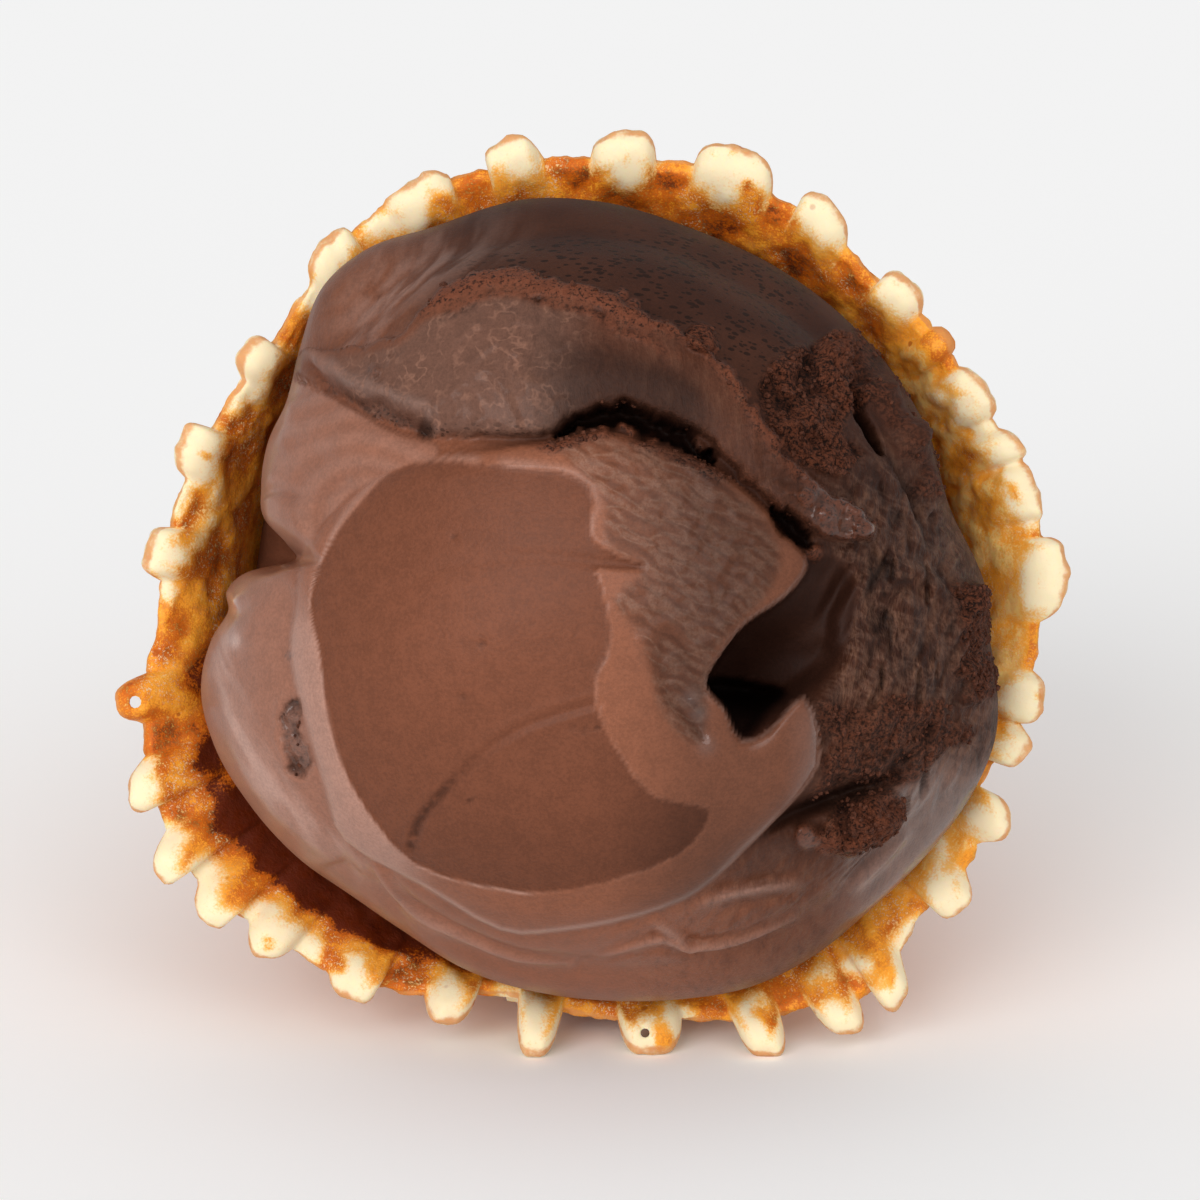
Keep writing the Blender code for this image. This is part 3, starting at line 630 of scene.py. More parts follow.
@dataclass(frozen=True)
class WaffleFinish:
    """Baked waffle: golden ridges, toasted pits, cream nubs and tan broken edges, with painted shadow and painted
    light on the inner wall.
    """

    cream: str = "ecdbb5"
    golden: str = "ee9c2c"
    toasted: str = "c4600c"
    dark: str = "5e1d00"
    tan: str = "d08a4c"
    straw: str = "eec273"
    honey: str = "eeb050"
    # dark tone of the pinholes, partly painted shade in the pores
    burnt_and_shadow: str = "a44a08"
    rough: float = 0.62

    def build(self, effects: SharedEffects) -> bpy.types.Material:
        """Make the material.

        Args:
            effects: the shared shader groups.

        Returns:
            The finished material.
        """
        material, bench, shader = new_material("baked_waffle")
        place = bench.add("ShaderNodeTexCoord").outputs["Object"]
        millimetres = bench.add("ShaderNodeVectorMath", {0: place, 3: 1000.0}, operation="SCALE").outputs[0]
        toast, pale, edge = bench.mark(Mark.TOAST), bench.mark(Mark.PALE), bench.mark(Mark.EDGE)
        blotch = bench.noise(millimetres, 0.22, 2.0, roughness=0.6)
        mottle = bench.noise(millimetres, 0.8, 3.0, roughness=0.65)
        speck = bench.noise(millimetres, 4.2, 2.0, roughness=0.7)
        grain = bench.group(effects.grain, vector=millimetres, size=0.45, roughness=0.75, seed=3.0)
        spread = bench.math("MULTIPLY_ADD", toast, 0.4, 0.12)
        spread = bench.math("MULTIPLY_ADD", bench.math("SUBTRACT", blotch, 0.5), 2.1, spread)
        spread = bench.math("MULTIPLY_ADD", bench.math("SUBTRACT", mottle, 0.5), 1.5, spread)
        spread = bench.math("MULTIPLY_ADD", bench.math("SUBTRACT", speck, 0.5), 1.7, spread)
        # toasted, then dark, where the toast mark is high: this also carries the painted shadow low on the left of the
        # inner wall
        tone = bench.mix(bench.ramp(spread, -0.1, 0.5), colour(self.golden), colour(self.toasted))
        tone = bench.mix(bench.ramp(spread, 0.5, 1.15), tone, colour(self.dark))
        # straw where the toast mark is low: this also carries the painted light on the right of the inner wall
        tone = bench.mix(bench.ramp(spread, -0.15, -0.75), tone, colour(self.straw))
        sugared = bench.math(
            "MULTIPLY", bench.ramp(speck, 0.54, 0.66), bench.ramp(bench.noise(millimetres, 0.19, 2.0), 0.46, 0.6)
        )
        sugared = bench.math("MULTIPLY", sugared, bench.ramp(toast, 1.5, 0.9, (0.0, 0.7)))
        tone = bench.mix(sugared, tone, colour(self.cream))
        cream = bench.math("MULTIPLY_ADD", bench.math("SUBTRACT", mottle, 0.5), 0.7, pale)
        cream = bench.math("MULTIPLY_ADD", bench.math("SUBTRACT", speck, 0.5), 1.1, cream)
        cream = bench.math("MULTIPLY", cream, bench.ramp(toast, 1.7, 1.05))
        tone = bench.mix(bench.ramp(cream, 0.0, 0.5), tone, colour(self.honey))
        tone = bench.mix(bench.ramp(cream, 0.2, 0.9), tone, colour(self.cream))
        rim = bench.math("MULTIPLY_ADD", bench.math("SUBTRACT", mottle, 0.5), 1.3, edge)
        tone = bench.mix(bench.ramp(rim, 0.4, 1.0, (0.0, 0.85)), tone, colour(self.tan))
        # pinholes: small dark pores, partly painted shade
        holes = bench.group(effects.pores, vector=millimetres, size=2.2, open=0.16, width=0.16)
        pinhole = bench.math("MULTIPLY", holes.outputs[0], bench.math("MULTIPLY_ADD", pale, -0.4, 0.75))
        tone = bench.mix(pinhole, tone, colour(self.burnt_and_shadow))
        bench.feed(shader.inputs["Base Color"], tone)
        bench.feed(shader.inputs["Roughness"], bench.ramp(mottle, 0.3, 0.7, (self.rough - 0.12, self.rough + 0.2)))
        calm = bench.math("SUBTRACT", 1.0, bench.math("MULTIPLY", pale, 0.8), clamp=True)
        height = bench.math("MULTIPLY", grain.outputs["Height"], calm)
        bump = bench.add("ShaderNodeBump", {"Height": height, "Strength": 0.55, "Distance": 0.00022})
        bench.feed(shader.inputs["Normal"], bump.outputs[0])
        shader.inputs["Specular IOR Level"].default_value = 0.25
        shader.inputs["Subsurface Weight"].default_value = 0.2
        shader.inputs["Subsurface Radius"].default_value = (1.0, 0.42, 0.1)
        shader.inputs["Subsurface Scale"].default_value = 3.0 * MM
        return material


@dataclass(frozen=True)
class IceCreamFinish:
    """Dense chocolate ice cream: matte cut face, glossy film, frosted ripples and crumbs, with painted sheen and
    painted shade.
    """

    shell: str = "361c12"
    film: str = "834f38"
    cut: str = "70412d"
    crumb: str = "5b3120"
    torn: str = "673825"
    # near black painted shade for gaps between crumbs, ripple troughs, pores and fibre grooves
    deep: str = "1a0b05"
    frosted: str = "a27c68"
    # pale colour of the painted sheen and painted highlights
    gleam: str = "b9978a"
    clouded: str = "402317"
    rime: str = "5d483f"
    vein: str = "8a6250"
    fibre: str = "75523f"

    def build(self, effects: SharedEffects) -> bpy.types.Material:
        """Make the material.

        Args:
            effects: the shared shader groups.

        Returns:
            The finished material.
        """
        material, bench, shader = new_material("chocolate_ice_cream")
        plan = bench.mark(Mark.PLAN)
        film, patch, frost = bench.mark(Mark.FILM), bench.mark(Mark.PATCH), bench.mark(Mark.FROST)
        crumb, wet, pores = bench.mark(Mark.CRUMB), bench.mark(Mark.WET), bench.mark(Mark.PORES)
        shade = bench.mark(Mark.SHADE)
        grain = bench.group(effects.grain, vector=plan, size=0.32, roughness=0.8, seed=11.0)
        cloud = bench.noise(plan, 0.12, 1.0, roughness=0.6)
        tone = bench.mix(bench.ramp(cloud, 0.35, 0.65), colour(self.shell), colour(self.clouded))
        tone = bench.mix(film, tone, colour(self.film))
        tone = bench.mix(patch, tone, colour(self.cut))
        fine = bench.noise(plan, 2.6, 2.0, roughness=0.75)
        # dark gaps between crumbs: painted shade
        crumbled = bench.mix(bench.ramp(fine, 0.36, 0.62), colour(self.deep), colour(self.crumb))
        crumbled = bench.mix(bench.ramp(fine, 0.6, 0.78), crumbled, colour(self.torn))
        tone = bench.mix(crumb, tone, crumbled)
        ragged = bench.mix(bench.ramp(fine, 0.3, 0.55), crumbled, colour(self.torn))
        tone = bench.mix(bench.mark(Mark.TORN), tone, ragged)
        # painted sheen: the pale colour laid over the tone where the sheen mark is high
        tone = bench.mix(bench.math("MULTIPLY", bench.mark(Mark.GLEAM), 0.75), tone, colour(self.gleam))
        swirl = bench.add("ShaderNodeTexNoise", {"Vector": plan, "Scale": 0.35, "Detail": 0.0})
        warped = bench.add("ShaderNodeVectorMath", {0: plan, 1: swirl.outputs["Color"]})
        turned = bench.add(
            "ShaderNodeMapping", {"Vector": warped.outputs[0], "Rotation": (0.0, 0.0, math.radians(28.0))}
        )
        stretched = bench.add("ShaderNodeMapping", {"Vector": turned.outputs[0], "Scale": (0.45, 1.35, 0.4)})
        ripple = bench.noise(stretched.outputs[0], 0.62, 1.2, roughness=0.45)
        ridge = bench.math("ABSOLUTE", bench.math("SUBTRACT", ripple, 0.5))
        ridge = bench.ramp(ridge, 0.1, 0.0)
        turned_ripple = bench.add(
            "ShaderNodeMapping", {"Vector": plan, "Rotation": (0.0, 0.0, math.radians(-58.0))}
        )
        wave = bench.add(
            "ShaderNodeTexWave",
            {
                "Vector": turned_ripple.outputs[0],
                "Scale": 0.26,
                "Distortion": 7.5,
                "Detail": 2.0,
                "Detail Scale": 1.1,
            },
        )
        broken = bench.ramp(bench.noise(plan, 0.45, 2.0), 0.38, 0.6)
        waved = bench.math("MULTIPLY", bench.ramp(wave.outputs["Fac"], 0.35, 0.95), broken)
        ridge = bench.math("MAXIMUM", bench.math("MULTIPLY", ridge, 0.75), bench.math("MULTIPLY", waved, 0.7))
        rippled = bench.math("MULTIPLY", bench.math("MULTIPLY", ridge, bench.ramp(fine, 0.2, 0.62)), frost)
        tone = bench.mix(bench.math("MULTIPLY", rippled, 0.62), tone, colour(self.frosted))
        # painted shade in the ripple troughs
        trough = bench.math("MULTIPLY", bench.ramp(wave.outputs["Fac"], 0.4, 0.05, (0.0, 0.2)), frost)
        tone = bench.mix(trough, tone, colour(self.deep))
        net = bench.mark(Mark.NET)
        tone = bench.mix(bench.math("MULTIPLY", net, 0.5), tone, colour(self.rime))
        veins = bench.noise(warped.outputs[0], 0.62, 2.0)
        veins = bench.math("ABSOLUTE", bench.math("SUBTRACT", veins, 0.5))
        vein = bench.math("MULTIPLY", bench.ramp(veins, 0.06, 0.0), broken)
        vein = bench.math("MULTIPLY", vein, net)
        tone = bench.mix(bench.math("MULTIPLY", vein, 0.5), tone, colour(self.vein))
        fibre_map = bench.add("ShaderNodeMapping", {"Vector": warped.outputs[0], "Scale": (1.25, 0.36, 0.4)})
        fibre = bench.noise(fibre_map.outputs[0], 1.0, 3.0, roughness=0.75)
        fibred = bench.math("MULTIPLY", bench.math("SUBTRACT", fibre, 0.5), bench.mark(Mark.FIBRE))
        tone = bench.mix(bench.math("MULTIPLY", fibred, 2.6, clamp=True), tone, colour(self.fibre))
        # painted shade in the fibre grooves
        tone = bench.mix(bench.math("MULTIPLY", fibred, -3.2, clamp=True), tone, colour(self.deep))
        slanted = bench.add(
            "ShaderNodeMapping",
            {"Vector": plan, "Rotation": (0.0, 0.0, math.radians(62.0)), "Scale": (0.62, 1.3, 1.0)},
        )
        pits = bench.group(effects.pores, vector=slanted.outputs[0], size=0.52, open=0.7, width=0.46)
        # painted shade in the pores
        pitted = bench.math("MULTIPLY", pits.outputs[0], pores)
        tone = bench.mix(bench.math("MULTIPLY", pitted, 0.8), tone, colour(self.deep))
        # the grain's own speckle, darkened by the shade mark as painted shade, multiplied into the tone
        speckle = bench.ramp(grain.outputs["Tone"], 0.35, 0.65, (0.86, 1.14))
        shaded = bench.math("MULTIPLY", speckle, bench.math("SUBTRACT", 1.0, bench.math("MULTIPLY", shade, 0.75)))
        speckle_and_shade = bench.add("ShaderNodeCombineColor", {0: shaded, 1: shaded, 2: shaded})
        tone = bench.mix(1.0, tone, speckle_and_shade.outputs[0], "MULTIPLY")
        bench.feed(shader.inputs["Base Color"], tone)
        gloss = bench.math("MULTIPLY_ADD", film, -0.18, 0.6)
        gloss = bench.math("MULTIPLY_ADD", crumb, 0.25, gloss)
        bare = bench.math("SUBTRACT", 1.0, bench.math("MAXIMUM", patch, crumb), clamp=True)
        sheen = bench.math("MULTIPLY", bench.math("MULTIPLY", film, 0.14), bare)
        bench.feed(shader.inputs["Coat Weight"], bench.math("ADD", sheen, wet, clamp=True))
        shader.inputs["Coat Roughness"].default_value = 0.16
        gloss = bench.math("MULTIPLY_ADD", bench.math("SUBTRACT", grain.outputs["Tone"], 0.5), 0.25, gloss)
        bench.feed(shader.inputs["Roughness"], bench.math("MAXIMUM", gloss, 0.1))
        height = bench.math("MULTIPLY", grain.outputs["Height"], bench.math("MULTIPLY_ADD", crumb, 1.6, 0.5))
        height = bench.math("MULTIPLY_ADD", bench.math("MULTIPLY", fine, crumb), 3.0, height)
        height = bench.math("MULTIPLY_ADD", fibred, 5.0, height)
        bump = bench.add("ShaderNodeBump", {"Height": height, "Strength": 0.6, "Distance": 0.00018})
        bench.feed(shader.inputs["Normal"], bump.outputs[0])
        shader.inputs["Specular IOR Level"].default_value = 0.12
        return material


# Waffle cone.


@dataclass(frozen=True)
class Nub:
    """One rounded nub of the rim, and the valley that follows it."""

    angle: float
    reach: float
    half_width: float
    lean: float
    valley_angle: float
    valley: float
    cream: float = 1.0


RIM_NUBS: tuple[Nub, ...] = (
    Nub(2.1, 42.6, 4.0, 0.6, 8.5, 40.6),
    Nub(13.5, 41.1, 2.6, 0.0, 17.0, 40.4),
    Nub(20.5, 40.6, 1.9, 0.0, 24.0, 39.4),
    Nub(28.5, 40.3, 2.6, 0.0, 32.5, 39.0),
    Nub(36.5, 39.9, 1.7, 0.0, 40.0, 38.9, 0.0),
    Nub(44.8, 40.3, 2.6, 0.6, 51.0, 38.7),
    Nub(59.0, 41.6, 3.1, 0.8, 64.8, 39.9),
    Nub(72.5, 42.7, 4.0, 0.2, 80.0, 40.2),
    Nub(87.0, 42.5, 3.4, 0.0, 94.5, 40.0),
    Nub(100.5, 42.5, 2.6, 0.6, 107.0, 40.3),
    Nub(114.5, 41.6, 3.4, -0.6, 121.0, 40.4),
    Nub(128.5, 41.0, 3.2, -0.4, 139.5, 38.1),
    Nub(145.8, 39.8, 2.4, -0.6, 152.5, 38.3),
    Nub(160.0, 40.8, 2.8, -0.6, 166.5, 39.4),
    Nub(174.5, 41.6, 2.6, -0.2, 183.0, 40.4),
    Nub(192.0, 44.9, 2.3, -0.2, 196.6, 43.2, 0.0),
    Nub(202.4, 46.4, 2.4, 0.8, 206.4, 44.6),
    Nub(210.4, 47.5, 2.1, 1.2, 214.0, 44.7),
    Nub(217.6, 46.5, 2.1, 1.2, 220.8, 43.8),
    Nub(225.6, 44.9, 2.6, 0.6, 232.5, 42.0),
    Nub(237.5, 42.8, 2.4, 0.8, 243.5, 40.2),
    Nub(249.6, 41.2, 2.6, 0.6, 257.0, 37.4),
    Nub(262.0, 41.95, 2.4, 0.0, 269.0, 38.2),
    Nub(276.8, 41.67, 3.3, 0.0, 284.0, 39.7),
    Nub(290.4, 44.22, 2.4, 0.0, 294.8, 41.6),
    Nub(299.6, 45.5, 2.0, -0.2, 303.0, 43.4),
    Nub(307.0, 45.9, 2.4, -0.8, 314.5, 41.0),
    Nub(320.2, 43.6, 2.6, -0.9, 325.0, 41.2),
    Nub(329.8, 42.5, 2.4, 0.9, 334.5, 38.6),
    Nub(340.0, 41.2, 2.2, -0.6, 343.4, 40.0),
    Nub(346.8, 41.5, 2.4, -0.4, 353.5, 40.0),
)


@dataclass(frozen=True)
class Pad:
    """Soft cream place on the rim: a rounded bar between two view points."""

    start: tuple[float, float]
    end: tuple[float, float]
    radius: float
    strength: float = 1.0


CREAM_PADS: tuple[Pad, ...] = (
    Pad((263, 352), (250, 382), 16), Pad((243, 386), (232, 408), 8, 0.9), Pad((204, 440), (196, 470), 17),
    Pad((186, 485), (174, 510), 8), Pad((219, 485), (198, 545), 4, 0.7), Pad((337, 245), (309, 296), 15),
    Pad((416, 191), (413, 217), 16), Pad((413, 217), (372, 228), 11), Pad((521, 146), (519, 164), 16),
    Pad((625, 140), (627, 168), 18), Pad((606, 152), (650, 152), 12), Pad((712, 168), (752, 174), 18),
    Pad((721, 188), (724, 196), 11), Pad((817, 214), (834, 228), 19), Pad((893, 292), (903, 305), 16),
    Pad((975, 385), (992, 425), 13), Pad((959, 405), (985, 441), 9), Pad((936, 394), (940, 400), 6, 0.8),
    Pad((1003, 452), (1026, 505), 15), Pad((1018, 500), (1032, 516), 13), Pad((1052, 558), (1050, 596), 19),
    Pad((1036, 560), (1036, 600), 13), Pad((1030, 690), (1017, 702), 17), Pad((1004, 748), (1020, 758), 11),
    Pad((978, 819), (994, 824), 14), Pad((943, 842), (939, 880), 7, 0.8), Pad((943, 889), (949, 908), 15),
    Pad((914, 932), (897, 965), 14), Pad((897, 965), (887, 1000), 13), Pad((853, 963), (864, 967), 9, 0.9),
    Pad((815, 976), (826, 973), 8, 0.7), Pad((836, 1014), (843, 1032), 12), Pad((753, 1010), (761, 1042), 14),
    Pad((677, 1022), (668, 1040), 14), Pad((648, 1030), (637, 1050), 14), Pad((537, 1008), (534, 1036), 12),
    Pad((449, 994), (451, 1016), 16), Pad((352, 966), (357, 990), 13), Pad((250, 923), (309, 950), 14),
    Pad((262, 912), (272, 915), 10), Pad((505, 992), (530, 1001), 6), Pad((205, 875), (203, 900), 18),
    Pad((165, 837), (162, 858), 17), Pad((131, 790), (149, 787), 11), Pad((154, 560), (176, 553), 12),
    Pad((162, 575), (163, 590), 11),
)
NUB_HOLES: tuple[tuple[float, float, float], ...] = ((135, 702, 0.56), (645, 1033, 0.42))
GOLDEN_DIMPLES: tuple[Pad, ...] = (
    Pad((204, 455), (206, 456), 4), Pad((153, 580), (154, 581), 5), Pad((745, 190), (745, 191), 5),
    Pad((734, 152), (735, 152), 2), Pad((624, 165), (627, 158), 3, 0.6), Pad((881, 963), (884, 982), 9),
    Pad((659, 1030), (664, 1040), 8), Pad((307, 275), (302, 285), 5), Pad((1003, 470), (1001, 482), 4, 0.8),
    Pad((1015, 490), (1018, 498), 5, 0.8), Pad((266, 945), (270, 948), 5), Pad((333, 955), (338, 962), 8),
    Pad((757, 1010), (772, 1024), 6, 0.9), Pad((1036, 692), (1037, 694), 2), Pad((969, 432), (971, 433), 2),
)


class RimFace(Enum):
    """Which face of the rim a point is on."""

    INNER = -1.0
    OUTER = 1.0


@dataclass
class WaffleCone:
    """Rolled waffle sheet: its lattice, its flap edge and its flared rim of nubs."""

    rest: Rest
    view: View = field(default_factory=View)
    half_angle: float = math.asin(0.25)
    rim_radius: float = 38.2
    wall: float = 2.4
    tip_slant: float = 14.0
    tip_rounding: float = 1.9
    flare: float = 10.0
    flare_lead: float = 5.5
    edge_height: float = -2.2
    edge_rise: float = 0.5
    nub_thickness: float = 1.3
    edge_thinning: float = 0.8
    pitch: float = 10.0
    relief: float = 0.9
    flap_angle: float = 257.0
    flap_step: float = 1.6
    flap_twist: float = math.radians(38.0)
    rim_columns: int = 960
    body_columns: int = 540
    body_rows: int = 84

    @property
    def apex(self) -> float:
        """Height of the cone's sharp apex, below the blunt tip."""
        return -self.rim_radius / math.tan(self.half_angle)

    @property
    def foot_slant(self) -> float:
        """Distance from the apex to the foot of the flare, along the wall."""
        return (-self.flare - self.apex) / math.cos(self.half_angle)

    def valley_curve(self, angles: np.ndarray) -> np.ndarray:
        """Rim radius without its nubs."""
        return ring_curve(sorted((nub.valley_angle, nub.valley) for nub in RIM_NUBS), angles)

    def nub_shares(self, angles: np.ndarray) -> tuple[np.ndarray, np.ndarray, np.ndarray, np.ndarray]:
        """How each rim angle takes part in a nub.

        Args:
            angles: rim angles in degrees.

        Returns:
            The share of a nub's rise, the rim's reach, its lean along the rim and its cream share.
        """
        valley = self.valley_curve(angles)
        share, reach, lean = np.zeros(len(angles)), valley.copy(), np.zeros(len(angles))
        cream = np.zeros(len(angles))
        ragged = 0.6 * layered_noise(angles * 0.7, np.zeros(len(angles)), 2.6, 14.0, 2)
        for nub in RIM_NUBS:
            away = (angles + ragged - nub.angle + 180.0) % 360.0 - 180.0
            across = np.abs(np.radians(away)) * nub.reach / nub.half_width
            finger = np.clip(1.0 - (1.03 * across) ** 3.2, 0.0, 1.0) ** 0.62
            cream = np.maximum(cream, nub.cream * (1.0 - smooth(across, 0.8, 1.1)))
            rise = nub.reach - self.valley_curve(np.array([nub.angle]))[0]
            reach = np.maximum(reach, valley + rise * finger)
            share = np.maximum(share, finger)
            lean = lean + nub.lean * finger
        reach = reach + 0.22 * layered_noise(angles * 0.7, np.full(len(angles), 9.0), 2.4, 15.0, 3)
        return share, reach, lean, cream

    def section(self, angles: np.ndarray, way: float) -> tuple[np.ndarray, ...]:
        """Middle line of the flared wall at one way from its foot, 0, to its edge, 1."""
        share, reach, lean, _ = self.nub_shares(angles)
        thick_end = self.wall - self.edge_thinning + (self.nub_thickness + self.edge_thinning) * share
        foot_r = (-self.flare - self.apex) * math.tan(self.half_angle)
        foot_r -= 0.5 * self.wall / math.cos(self.half_angle)
        lead_r = foot_r + self.flare_lead * math.sin(self.half_angle)
        lead_h = -self.flare + self.flare_lead * math.cos(self.half_angle)
        end_r = reach - 0.5 * thick_end - 0.12
        end_h = self.edge_height + self.edge_rise * (reach - self.valley_curve(angles))
        low, mid, high = (1 - way) ** 2, 2 * way * (1 - way), way**2
        radius = low * foot_r + mid * lead_r + high * end_r
        height = -low * self.flare + mid * lead_h + high * end_h
        run_r = 2 * (1 - way) * (lead_r - foot_r) + 2 * way * (end_r - lead_r)
        run_h = 2 * (1 - way) * (lead_h + self.flare) + 2 * way * (end_h - lead_h)
        length = np.hypot(run_r, run_h)
        half = 0.5 * (self.wall + (thick_end - self.wall) * way**2)
        turn = np.radians(angles) + lean * way**3 / reach
        return radius, height, run_r / length, run_h / length, half, turn

    def rim_point(
        self, angles: np.ndarray, way: float, face: RimFace, crown: float = 0.0, lift: np.ndarray | float = 0.0
    ) -> np.ndarray:
        """Cone coordinates on the flared rim.

        Args:
            angles: rim angles in degrees.
            way: 0 at the flare's foot to 1 at its edge.
            face: the inner or the outer face.
            crown: angle over the edge, from the face round to the other.
            lift: extra thickness under the face.

        Returns:
            One point for each angle.
        """
        radius, height, run_r, run_h, half, turn = self.section(angles, way)
        out, up = face.value * math.cos(crown), math.sin(crown)
        half = half + lift
        radius = radius + half * (run_h * out + run_r * up)
        height = height + half * (-run_r * out + run_h * up)
        return np.stack((radius * np.cos(turn), radius * np.sin(turn), height), axis=-1)

    def nub_count(self, angles: np.ndarray) -> np.ndarray:
        """Number of nubs passed at each angle, whole at each nub's middle."""
        at = np.array([nub.angle for nub in RIM_NUBS])
        at = np.concatenate((at[-1:] - 360.0, at, at[:1] + 360.0))
        return np.interp(np.mod(angles, 360.0), at, np.arange(-1, len(RIM_NUBS) + 1))

    def pit_share(self, angles: np.ndarray, depth: float) -> np.ndarray:
        """Waffle pattern near the rim, lined up with the nubs.

        Args:
            angles: rim angles in degrees.
            depth: distance down the wall from the rim's edge.

        Returns:
            0 on a ridge of the lattice to 1 in the middle of a pit.
        """
        wobble = 0.06 * noise(angles * 0.7, np.full(len(angles), depth), 3.0, 2.0)
        count = self.nub_count(angles) + wobble
        first, second = count + depth / 13.0, count - depth / 13.0
        from_ridge = [0.5 - np.abs(np.mod(way, 1.0) - 0.5) for way in (first, second)]
        nearest = np.minimum(*from_ridge)
        return smooth(nearest, 0.05, 0.32)

    def painted_wall_shading(self, angles: np.ndarray, depth: float) -> np.ndarray:
        """Painted shading of the inner wall: painted shadow strongest low on the left, painted light on the right and
        darker at the top.
        """
        away = (angles - 223.0 + 180.0) % 360.0 - 180.0
        # painted shadow low on the left, painted light on the right, darker near the top
        burnt_and_shadow = 4.6 * np.exp(-((away / 24.0) ** 2)) * float(smooth(np.array(depth), 2.4, 4.8))
        painted_light = 1.5 * (1.0 - smooth(np.abs((angles - 358.0 + 180.0) % 360.0 - 180.0), 30.0, 60.0))
        return burnt_and_shadow - painted_light + 0.45 * np.exp(-((((angles - 70.0 + 180.0) % 360.0 - 180.0) / 26.0) ** 2))

    def cream_share(self, points: np.ndarray, source: np.ndarray) -> np.ndarray:
        """How much of a cream pad covers each rim point, from 0 to 1.

        Args:
            points: the points in cone coordinates.
            source: the rim angles that they were made from.

        Returns:
            The cream share of each point.
        """
        nearness = self.view.nearness(points[:, 2])
        x, y = points[:, 0] * nearness, points[:, 1] * nearness
        x = x + 0.35 * layered_noise(x, y, 2.2, 61.0, 3)
        y = y + 0.35 * layered_noise(x, y, 2.2, 67.0, 3)
        cream = np.zeros(len(points))
        for pad in CREAM_PADS:
            away, _ = line_distance(x, y, self.view.plan([pad.start, pad.end]))
            reach = pad.radius * self.view.scale
            cream = np.maximum(cream, pad.strength * (1.0 - smooth(away, reach - 1.2, reach + 1.2)))
        _, reach, _, tips = self.nub_shares(source)
        depth = reach - np.hypot(points[:, 0], points[:, 1])
        depth = depth + 0.4 * layered_noise(x, y, 1.6, 63.0, 2)
        cream = np.maximum(cream, tips * (1.0 - smooth(depth, 1.1, 3.6)))
        for pad in GOLDEN_DIMPLES:
            away, _ = line_distance(x, y, self.view.plan([pad.start, pad.end]))
            reach = pad.radius * self.view.scale
            cream = cream * (1.0 - pad.strength * (1.0 - smooth(away, reach - 0.5, reach + 0.6)))
        return cream

    def rim_rows(self, skin: Skin) -> tuple[np.ndarray, np.ndarray, np.ndarray]:
        """Add the flared rim: outer face, edge and inner face.

        Args:
            skin: the mesh being made.

        Returns:
            The numbers of the lowest outer and the lowest inner ring, and their angles.
        """
        angles = self.flap_angle + np.arange(self.rim_columns) * 360.0 / self.rim_columns
        along = angles * 0.72
        length = 13.0
        spiral = self.flap_step * (1.0 - (angles - self.flap_angle) / 360.0)
        rings = []
        for way in np.linspace(0.0, 1.0, 17):
            depth = (1.0 - way) * length
            pit = self.pit_share(angles, depth + 1.2)
            cream = self.cream_share(self.rim_point(angles, way, RimFace.OUTER), angles)
            cream = cream * smooth(np.array(way), 0.3, 0.7)
            lift = 0.5 * (0.5 - pit) * smooth(np.array(way), 0.0, 0.2) * (1.0 - way**4)
            row = self.rim_point(angles, way, RimFace.OUTER, 0.0, lift)
            radius = np.hypot(row[:, 0], row[:, 1])
            row[:, :2] *= ((radius + spiral * (1.0 - way)) / radius)[:, None]
            edge = np.full(len(angles), smooth(np.array(way), 0.8, 1.0) * 0.5)
            rings.append(skin.add(row, {Mark.TOAST: pit * (1 - cream), Mark.PALE: cream, Mark.EDGE: edge}))
        for bend in np.radians((22.0, 45.0, 68.0, 90.0, 112.0, 135.0, 158.0)):
            rough = 0.24 * layered_noise(along, np.full(len(angles), 3.0 * bend), 1.5, 4.0, 3)
            row = self.rim_point(angles, 1.0, RimFace.OUTER, bend, rough * math.sin(bend) - 0.1)
            cream = self.cream_share(row, angles)
            edge = np.full(len(angles), 0.95 * math.exp(-(((bend - 1.35) / 0.6) ** 4)))
            marks = {Mark.TOAST: 0.45 * (1 - cream), Mark.PALE: cream, Mark.EDGE: edge}
            rings.append(skin.add(row, marks))
        for way in np.linspace(1.0, 0.0, 26):
            depth = (1.0 - way) * length
            pit = self.pit_share(angles, depth)
            flat = self.rim_point(angles, way, RimFace.INNER)
            cream = self.cream_share(flat, angles)
            lift = 0.3 * (0.4 - pit) * (1.0 - way**6) * smooth(np.array(way), 0.0, 0.15)
            lift = lift + 0.42 * cream * (1.0 - way**10)
            lift = lift + 0.13 * layered_noise(along, np.full(len(angles), depth), 1.7, 8.0, 3) * (1 - 0.7 * cream)
            row = self.rim_point(angles, way, RimFace.INNER, 0.0, lift)
            edge = smooth(np.array(way), 0.93, 1.0) * 0.3 * (1 - cream)
            # toasted pits plus the painted shadow and painted light of the inner wall
            toast = (pit + self.painted_wall_shading(angles, depth)) * (1 - cream)
            rings.append(skin.add(row, {Mark.TOAST: toast, Mark.PALE: cream, Mark.EDGE: edge}))
        for ring, beside in zip(rings[:-1], rings[1:]):
            skin.bridge(ring, beside)
        for x, y, radius in NUB_HOLES:
            self.pierce(skin, rings, self.view.plan([(x, y)])[0], radius)
        return rings[0], rings[-1], angles

